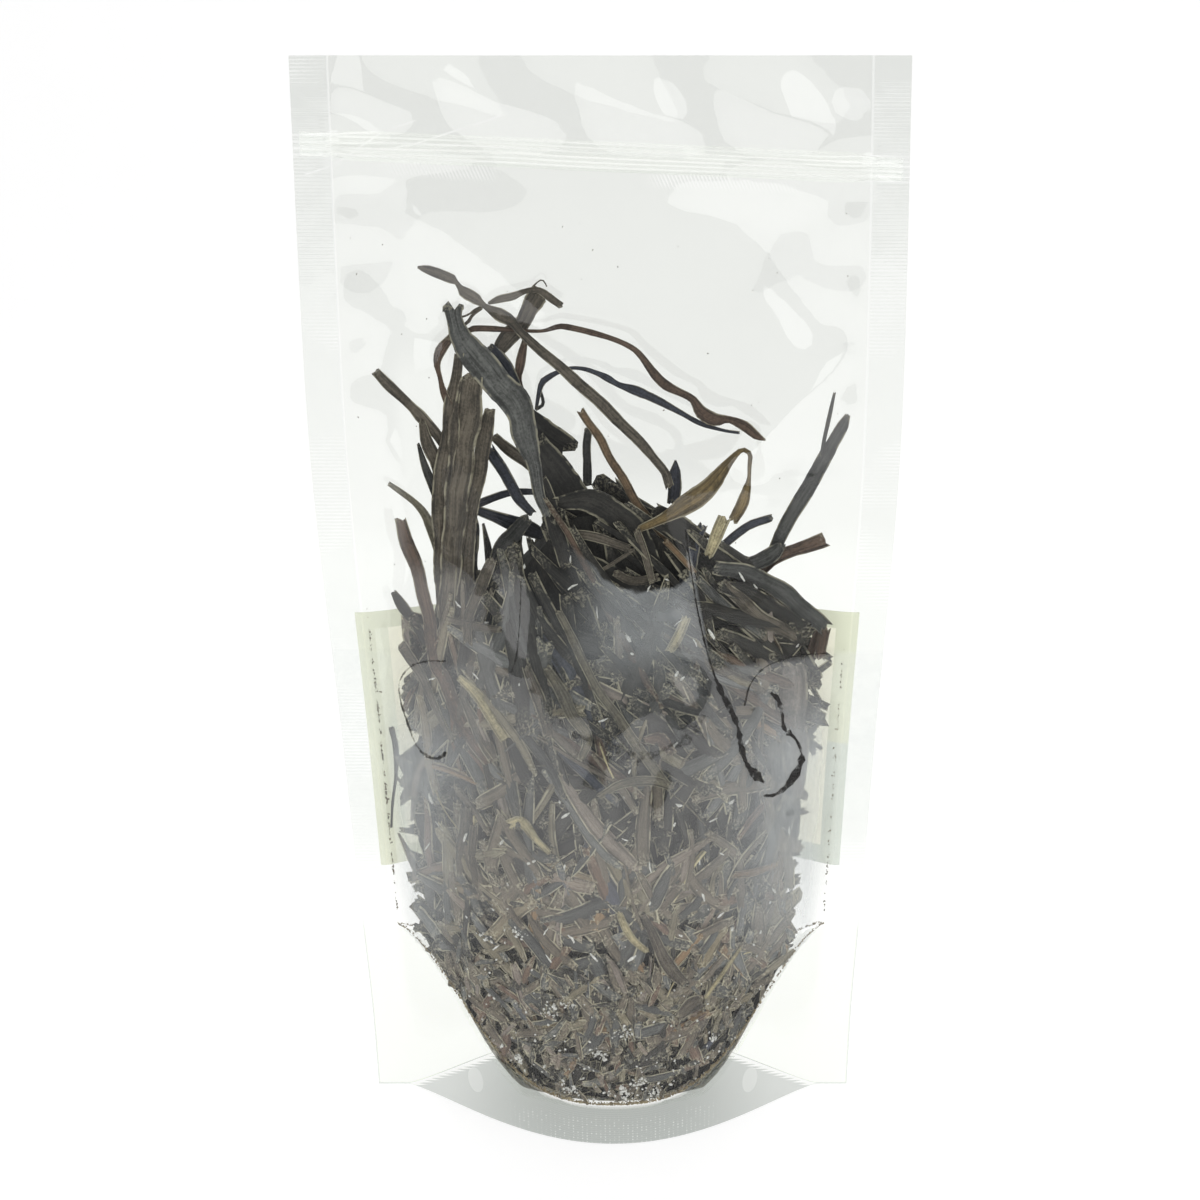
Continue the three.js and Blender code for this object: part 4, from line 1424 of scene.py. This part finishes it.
    ("window_low", "brown", 0.8, [(2, 126.5, 1.8), (6, 124.8, 2.2), (11.5, 125.5, 1.8)]),
    ("window_long", "dark", 0.78, [(-2, 137.5, 1.2), (5, 133, 1.6), (12, 127.5, 1.6), (18, 121.5, 1.2)]),
    ("corner_strip", "red", 0.3, [(50.5, 111, 1.4), (49.5, 109.5, 3), (48.5, 107, 3), (47, 103.5, 2.7)]),
    ("mauve_leaf", "mauve", 1, [(42.5, 104.5, 5.4), (43, 102, 8.1), (43, 97, 8.8), (43.5, 92.5, 8.4),
        (45, 85, 6.8), (46, 78, 4.7), (46.5, 72.5, 1.4)]),
    ("level_brown", "brown", 1, [(-36.5, 115.5, 1.4), (-31.5, 114.5, 1.9), (-27, 114, 1.8),
        (-24, 114, 1.2)]),
    ("hazy_stem", "brown", 1, [(-48, 108, 2.5), (-44.5, 103, 2.3), (-42, 97.5, 1.9), (-39.5, 91.5, 1.5),
        (-37.5, 87.5, 1.1)]),
    ("tan_a", "brown", 1, [(-34, 98, 1.8), (-31.5, 92.5, 2.8), (-29, 88, 3.3), (-27.5, 85, 2.3)]),
    ("tan_b", "brown", 1, [(-18.5, 106.5, 2.1), (-17, 102, 2.8), (-15, 96.5, 2.8), (-14, 91, 2.3)]),
    ("tan_c", "olive", 1, [(-14, 106.5, 2.1), (-10.5, 101, 2.8), (-8, 96, 2.8), (-5, 91.5, 2.3),
        (-6.5, 87, 1.8)]),
    ("tan_d", "straw", 1, [(-34.5, 102.5, 1.8), (-31, 99.5, 2.4), (-28, 95.5, 2.5), (-24.5, 90, 2.3)]),
    ("olive_e", "olive", 1, [(-11, 118.5, 1.5), (-7.5, 112, 1.9), (-5.5, 107.5, 1.9), (-2, 101.5, 1.9),
        (3, 95, 2.1), (7.5, 88.5, 2.3), (14, 80.5, 2.1)]),
    ("twin_a", "brown", 1, [(-35, 73, 2.5), (-35.5, 68.5, 2.8), (-37, 62, 2.7), (-37.5, 56.5, 2)]),
    ("twin_b", "brown", 1, [(-33, 69.5, 1.8), (-34, 63, 2.1), (-33.5, 55, 1.6)]),
    ("straw_twig", "straw", 1, [(-24, 71, 2.7), (-21, 72, 3), (-18, 68.5, 1.7), (-14.5, 65.5, 1.2)]),
    ("outer_stick", "slate", 0.3, [(-52.5, 88, 1.4), (-52, 83.5, 1.4), (-52.5, 77, 0.8), (-54, 70.5, 0.6),
        (-55, 64, 0.5)]),
    ("outer_fork", "slate", 0.3, [(-51, 81.5, 1.4), (-50, 78, 1.9), (-48.5, 75.5, 1.5)]),
    ("straw_stick", "straw", 1, [(18, 117, 2), (16, 113, 2.3), (14, 110, 1.9)]),
    ("curved_chip", "olive", 1, [(-2.5, 79, 1.5), (2.5, 81.5, 2), (10, 82, 2.3), (15, 80.5, 1.6)]),
    ("torn_chip", "red", 1, [(8.5, 91, 1.6), (12, 91, 3.4), (14.5, 88, 2.7)]),
    ("pale_stem", "straw", 1, [(2, 53, 1.4), (3.5, 50, 1.7), (5.5, 47, 1.8), (9, 44, 1.4)]),
    ("pale_twig", "straw", 1, [(33, 41, 0.7), (28.5, 36, 1), (24, 31, 0.8)]),
    ("level_tan", "orange", 1, [(30.5, 58.5, 1.6), (36.5, 58, 1.9), (42, 58.5, 1.4)]),
    ("bark_a", "brown", 1, [(17, 28, 2.3), (20.5, 30, 3.6), (23.5, 30.5, 2.8)]),
    ("bark_b", "brown", 1, [(8, 52.5, 1.4), (11, 46.5, 2.3), (14.5, 39.5, 3.3), (18.5, 35.5, 2.3)]),
]


# %% Laying the long pieces
RING_STEP = 1.1


def smooth_route(stops, step):
    """Evenly spaced stations along a smooth curve through the stops."""
    stops = np.array(stops, float)
    gaps = np.maximum(0.05, np.linalg.norm(np.diff(stops[:, :2], axis=0), axis=1))
    at = np.concatenate([[0], np.cumsum(gaps)])
    rings = max(7, int(at[-1] / step) + 1)
    where = np.linspace(0, at[-1], rings)
    return np.stack([through(list(zip(at, stops[:, k])), where) for k in range(3)], axis=1)


def strip_along(stops, step, columns):
    """A strip with a ring at each station of a route, and the ring of each point."""
    route = smooth_route(stops, step)
    rings = len(route)
    shape = model_strip(rings - 1, columns)
    ring = np.rint((shape[0][:, 2] + 0.5) * (rings - 1)).astype(int)
    return shape, ring, rings, route.T


def lay_long_piece(name, tint, share, stops, finish):
    shape, ring, rings, (s, z, width) = strip_along(stops, RING_STEP, 4)
    points = shape[0]
    side = FRONT if share > 0 else BACK
    middle = film_point(side, s, z)
    middle[:, 1] *= abs(share)
    width = np.maximum(0.25, width)
    broadest = width.max()
    thick = np.clip(0.28 * broadest, 0.3, 0.8) * (0.75 + 0.25 * width / broadest)
    sway = 0.03 * np.sin(np.arange(rings) * 0.6 + len(name))[:, None] * width[:, None]
    middle = keep_inside(middle + np.array([1, 0.6, 0.4]) * sway, 0.3 + 0.6 * thick)
    along = unit(np.gradient(middle, axis=0))
    toward = np.array([0.0, -1.0, 0.0])
    beside = unit(np.cross(along, toward))
    face = np.cross(beside, along)
    tilt = 0.35 * np.sin(np.linspace(0, 2.5, rings) + len(name))[:, None]
    across = beside * np.cos(tilt) + face * np.sin(tilt)
    face = np.cross(across, along)
    ragged = 1 + 0.03 * np.sin(np.arange(rings) * 0.7 + 2 * len(name)) + rng.normal(0, 0.02, rings)
    u, v = points[:, 0], points[:, 1]
    wide = (width * ragged)[ring]
    rise = v * thick[ring] - 0.16 * wide * (4 * u * u - 0.4)
    laid = middle[ring] + across[ring] * (u * wide)[:, None] - face[ring] * rise[:, None]
    torn = np.where(np.abs(points[:, 2]) > AT_END, 0.3, 0.0) * wide * rng.uniform(-1, 1, len(points))
    laid = behind_film(laid + along[ring] * torn[:, None])
    join_pieces(name, shape, laid[None], np.array([TINTS[tint]]), finish)


for name, tint, share, stops in LONG_PIECES:
    lay_long_piece(name, tint, share, stops, weed_on_top)

# %% [markdown]
# ## Sharp folds in the film
#
# Where the film is folded sharply round a lump it mirrors nothing pale, so the fold shows
# as a thin dark line over the hazy heap. A fold is a narrow ridge on the film, broad at its
# middle and thin at its ends, with a grainy see-through finish. Its near-black parts are
# painted shade, laid on the film in place of the pale reflection that the fold lacks.

# %% Folds
FOLDS = [
    # name, strength, (s, z, width) along it in millimetres
    ("fold_right", 0.9, [(17.5, 136, 0.25), (18.5, 129, 0.25), (20.5, 118, 0.35), (23.5, 107, 0.4),
        (26, 101, 0.8), (28.5, 96.5, 1.1), (30.5, 92, 0.7), (31.5, 87.5, 1.3), (33, 83.5, 0.8),
        (35.5, 80.5, 1.6), (37.5, 78.5, 0.6)]),
    ("fold_loop", 0.9, [(37.5, 75.5, 0.4), (40.5, 74.8, 0.9), (43.5, 76, 1.9), (46, 79.5, 1.6),
        (46.8, 83, 0.8), (45, 87, 0.5), (42, 90, 1.0), (41.3, 93.5, 0.6), (40, 97, 1.1),
        (38.2, 98.5, 0.5)]),
    ("fold_arc", 0.7, [(32, 96.5, 0.5), (33.2, 101, 0.4), (36.5, 104.6, 0.35), (43, 106.3, 0.3),
        (51.5, 106, 0.25)]),
    ("fold_left", 0.65, [(-37.5, 106, 0.25), (-42.5, 105.3, 0.4), (-46.5, 103.3, 0.5),
        (-49.3, 99.5, 0.45), (-49.4, 94.5, 0.5), (-48, 90, 0.5), (-46.5, 86, 0.8), (-44, 83.6, 0.9),
        (-41, 83.4, 1.0), (-39, 85, 0.5)]),
    ("fold_middle", 0.6, [(-18.8, 130, 0.25), (-19.3, 122, 0.3), (-20, 114, 0.35), (-21, 108, 0.5),
        (-22.2, 105, 0.4)]),
    ("fold_smudge", 0.35, [(-8.5, 92.5, 2.5), (-4.5, 91.5, 2), (0.5, 90, 4.5), (5, 88, 5.5),
        (9.5, 87.8, 4), (13, 89, 2.5), (17, 90, 3.5), (20.5, 93, 4), (22, 96, 2)]),
    ("fold_speck", 0.35, [(-13, 101.5, 2), (-12, 98, 4), (-11.5, 94.5, 3)]),
]
FOLD_STEP = 0.8
FOLD_LIFT = 0.12


def fold_shadow():
    finish = Finish("fold_shadow")
    where = finish.place()
    grainy = finish.noise(where, 1500.0, 4.0, 0.7)
    broken = finish.noise(where, 420.0, 3.0, 0.6)
    rim = finish.stored("rim")
    strength = finish.stored("tint")
    # Painted shade: the near-black of a fold stands in for the pale reflection it lacks.
    fold_dark_paint = finish.ramp(grainy, [(0.3, (0.008, 0.008, 0.009)), (0.7, (0.035, 0.032, 0.030))])
    dark = finish.principled({"Base Color": fold_dark_paint, "Roughness": 0.8})
    nothing = finish.see_through(1, 1, 1)
    cover = (broken * 0.8 + grainy * 0.5 - rim * (1 - strength) * 0.7).between(0.38, 0.72) * strength
    return finish.surface(finish.blend(cover, nothing, dark))


def lay_fold(name, strength, stops, finish):
    shape, ring, rings, (s, z, width) = strip_along(stops, FOLD_STEP, 3)
    points = shape[0]
    middle = film_point(FRONT, s, z)
    along = unit(np.gradient(middle, axis=0))
    out = unit(np.stack([np.zeros(rings), -np.ones(rings), np.full(rings, 0.2)], axis=1))
    beside = unit(np.cross(along, out))
    ragged = 1 + 0.2 * np.sin(np.arange(rings) * 1.3) + rng.normal(0, 0.3, rings)
    wide = (np.maximum(0.15, width) * np.maximum(0.4, ragged))[ring]
    edge = middle[ring] + beside[ring] * (points[:, 0] * wide)[:, None]
    depth = film_depth(FRONT, flat_place(edge[:, 0], edge[:, 2]), edge[:, 2])
    edge[:, 1] = -(depth + FOLD_LIFT + 0.05 * points[:, 1])
    join_pieces(name, shape, edge[None], np.array([strength]), finish)


shadow = fold_shadow()
for name, strength, stops in FOLDS:
    lay_fold(name, strength, stops, shadow)

# %% [markdown]
# ## Dust and salt
#
# The finest dust of the weed has sifted down and clings along the U weld and the inner
# edges of the side welds. Sea salt lies between the lowest crumbs in small white
# clusters. A grain of either is a ball of twenty faces, copied, squashed and turned.

# %% Grains
SALT_HEAPS = [  # s, z, spread, in millimetres
    (-23, 46, 1.6), (-32, 44, 1.4), (-16, 30, 2.6), (-11, 32, 1.6), (3.5, 26, 1.8), (-3.5, 20.5, 2.0),
    (7.5, 14, 1.8), (4, 11.3, 2.2), (11, 11.5, 1.8), (-25, 16.5, 1.4), (27, 21, 1.4), (-11, 12, 1.4),
]


def model_grain():
    deselect_all()
    bpy.ops.mesh.primitive_ico_sphere_add(subdivisions=1, radius=0.5)
    return take_shape(bpy.context.object)


GRAIN = model_grain()


def salt_finish():
    finish = Finish("sea_salt")
    sparkle = finish.noise(finish.place(), 1800.0, 2.0, 0.5)
    colour = finish.ramp(sparkle, [(0.35, (0.55, 0.54, 0.50)), (0.6, (0.86, 0.86, 0.83))])
    return finish.surface(finish.principled({
        "Base Color": colour, "Roughness": 0.35, "Normal": finish.bump(sparkle, 0.1 * MM, 0.6)}))


DUST_TONES = [(0.3, (0.1, 0.075, 0.04)), (0.5, (0.28, 0.22, 0.12)), (0.7, (0.5, 0.43, 0.28))]


def dust_finish(name, light):
    finish = Finish(name)
    mottle = finish.noise(finish.place(), 900.0, 3.0, 0.6)
    stops = [(at, tuple(light * part for part in tone)) for at, tone in DUST_TONES]
    colour = finish.ramp(mottle, stops)
    return finish.surface(finish.principled({"Base Color": colour, "Roughness": 0.85}))


def sprinkle(name, side, s, z, depth, size, finish):
    """Grains laid at places on the films."""
    count = len(s)
    placed = lay_pieces(
        GRAIN[0], side, s, z, depth, rng.uniform(0, 180, count), 0, rng.uniform(0, 180, count),
        size * rng.uniform(0.8, 1.5, count), size, size * rng.uniform(0.5, 1, count), taper=0, fray=0)
    join_pieces(name, GRAIN, placed, np.zeros(count), finish)


def along_foot_weld(count, spread):
    s = rng.uniform(-INNER + 0.6, INNER - 0.6, 2 * count)
    s = s[rng.uniform(0, 1, 2 * count) < 1 - 0.55 * (np.abs(s) / INNER) ** 2][:count]
    return s, weld_line(s) + 0.15 + np.abs(rng.normal(0, spread, len(s)))


def along_side_weld(count, edge, low, high):
    z = low + (high - low) * rng.beta(1.6, 1.6, count)
    z = z[np.sin(z * 1.9) + np.sin(z * 0.7 + 1) > -0.4]
    return edge * (INNER - 0.3 - np.abs(rng.normal(0, 0.7, len(z)))), z


s, z = along_foot_weld(2600, 0.35)
sprinkle("foot_dust", rng.choice([FRONT, BACK], len(s), p=[0.6, 0.4]), s, z,
         rng.uniform(0, 0.6, len(s)), rng.uniform(0.18, 0.45, len(s)), dust_finish("foot_dust", 1.0))
side_dust = dust_finish("side_dust", 0.55)
s_left, z_left = along_side_weld(420, -1, 41, 116)
s_right, z_right = along_side_weld(150, 1, 41, 108)
s, z = np.append(s_left, s_right), np.append(z_left, z_right)
sprinkle("side_dust", np.full(len(s), FRONT), s, z,
         np.full(len(s), 0.2), rng.uniform(0.2, 0.5, len(s)), side_dust)
count = 70
s, z = rng.uniform(-55, 55, count), rng.uniform(90, 205, count)
sprinkle("film_specks", rng.choice([FRONT, BACK], count), s, z, np.full(count, 0.15),
         rng.uniform(0.12, 0.35, count), side_dust)

HEAPED = 420  # grains of salt in the clusters
STRAY = 200  # and between them
heap_s, heap_z, heap_spread = (np.array(column) for column in zip(*SALT_HEAPS))
pick = rng.choice(len(SALT_HEAPS), HEAPED, p=heap_spread / heap_spread.sum())
s = heap_s[pick] + rng.normal(0, 1, HEAPED) * heap_spread[pick] * 0.6
z = heap_z[pick] + rng.normal(0, 1, HEAPED) * heap_spread[pick] * 0.45
s = np.append(s, rng.uniform(-40, 40, STRAY))
z = np.append(z, weld_line(s[HEAPED:]) + rng.exponential(14, STRAY))
count = HEAPED + STRAY
sea_salt = salt_finish()
sprinkle("salt", rng.choice([FRONT, BACK], count, p=[0.8, 0.2]), s, z,
         rng.uniform(0.35, 0.9, count), rng.uniform(0.25, 0.8, count) ** 1.2, sea_salt)
# Painted light: pale bits in the salt's finish over the heap stand in for small gaps where the bright
# sheet shows through between the pieces.
s, z = draw_places(80, 40, 130, 3)
count = len(s)
placed = lay_pieces(
    CRUMB[0], np.full(count, FRONT), s, z, rng.uniform(0.5, 1.2, count),
    rng.uniform(-70, 70, count), 0, 0, rng.uniform(0.6, 2.8, count), rng.uniform(0.25, 0.8, count),
    0.25, bow=rng.normal(0, 0.3, count), taper=0.6)
join_pieces("pale_bits", CRUMB, placed, np.zeros(count), sea_salt)

# %% [markdown]
# ## The underside of the heap
#
# From the sides one looks up through the gusset at what rests on it. Chips and crumbs lie
# there in all directions, flat against the underside of the core.


# %% Pieces on the gusset
def rest_on_gusset(name, shape, count, length, width, thick):
    """Pieces that lie flat against the underside of the core, in all directions."""
    u, v, w = (shape[0][:, k][None, :] for k in range(3))
    turn = rng.uniform(0, 2 * np.pi, (count, 1))
    size = np.exp(rng.normal(0, 0.3, (count, 1)))
    below = rng.uniform(0.1, 0.8, (count, 1))
    along, beside = w * length * size, u * width * size
    s = rng.uniform(-44, 44, (count, 1)) + along * np.cos(turn) - beside * np.sin(turn)
    y = rng.uniform(-29, 29, (count, 1)) + along * np.sin(turn) + beside * np.cos(turn)
    weld = weld_line(s)
    edge = np.minimum(film_depth(FRONT, s, weld), film_depth(BACK, s, weld)) - 1.5
    bottom = weld + CORE_ABOVE_WELD
    z = bottom - ease(*HANGING, bottom) * (weld - gusset_height(s, y)) - below + v * thick
    x = drawn_in(s, z)
    inside = (np.abs(y) < edge).all(axis=1)
    # Painted shade: pieces tucked against the core take the darkest tints, for the shade under the heap.
    deep = rng.uniform(0, DARKEST, count)
    tint = np.where(below[:, 0] < 0.3, deep, draw_tints(count, MIXED))
    join_pieces(name, shape, np.stack([x, y, z], axis=-1)[inside], tint[inside], weed_with_salt)


rest_on_gusset("under_chips", CHIP, 1500, 8.0, 2.4, 0.55)
rest_on_gusset("under_crumbs", CRUMB, 1800, 3.8, 1.6, 0.5)
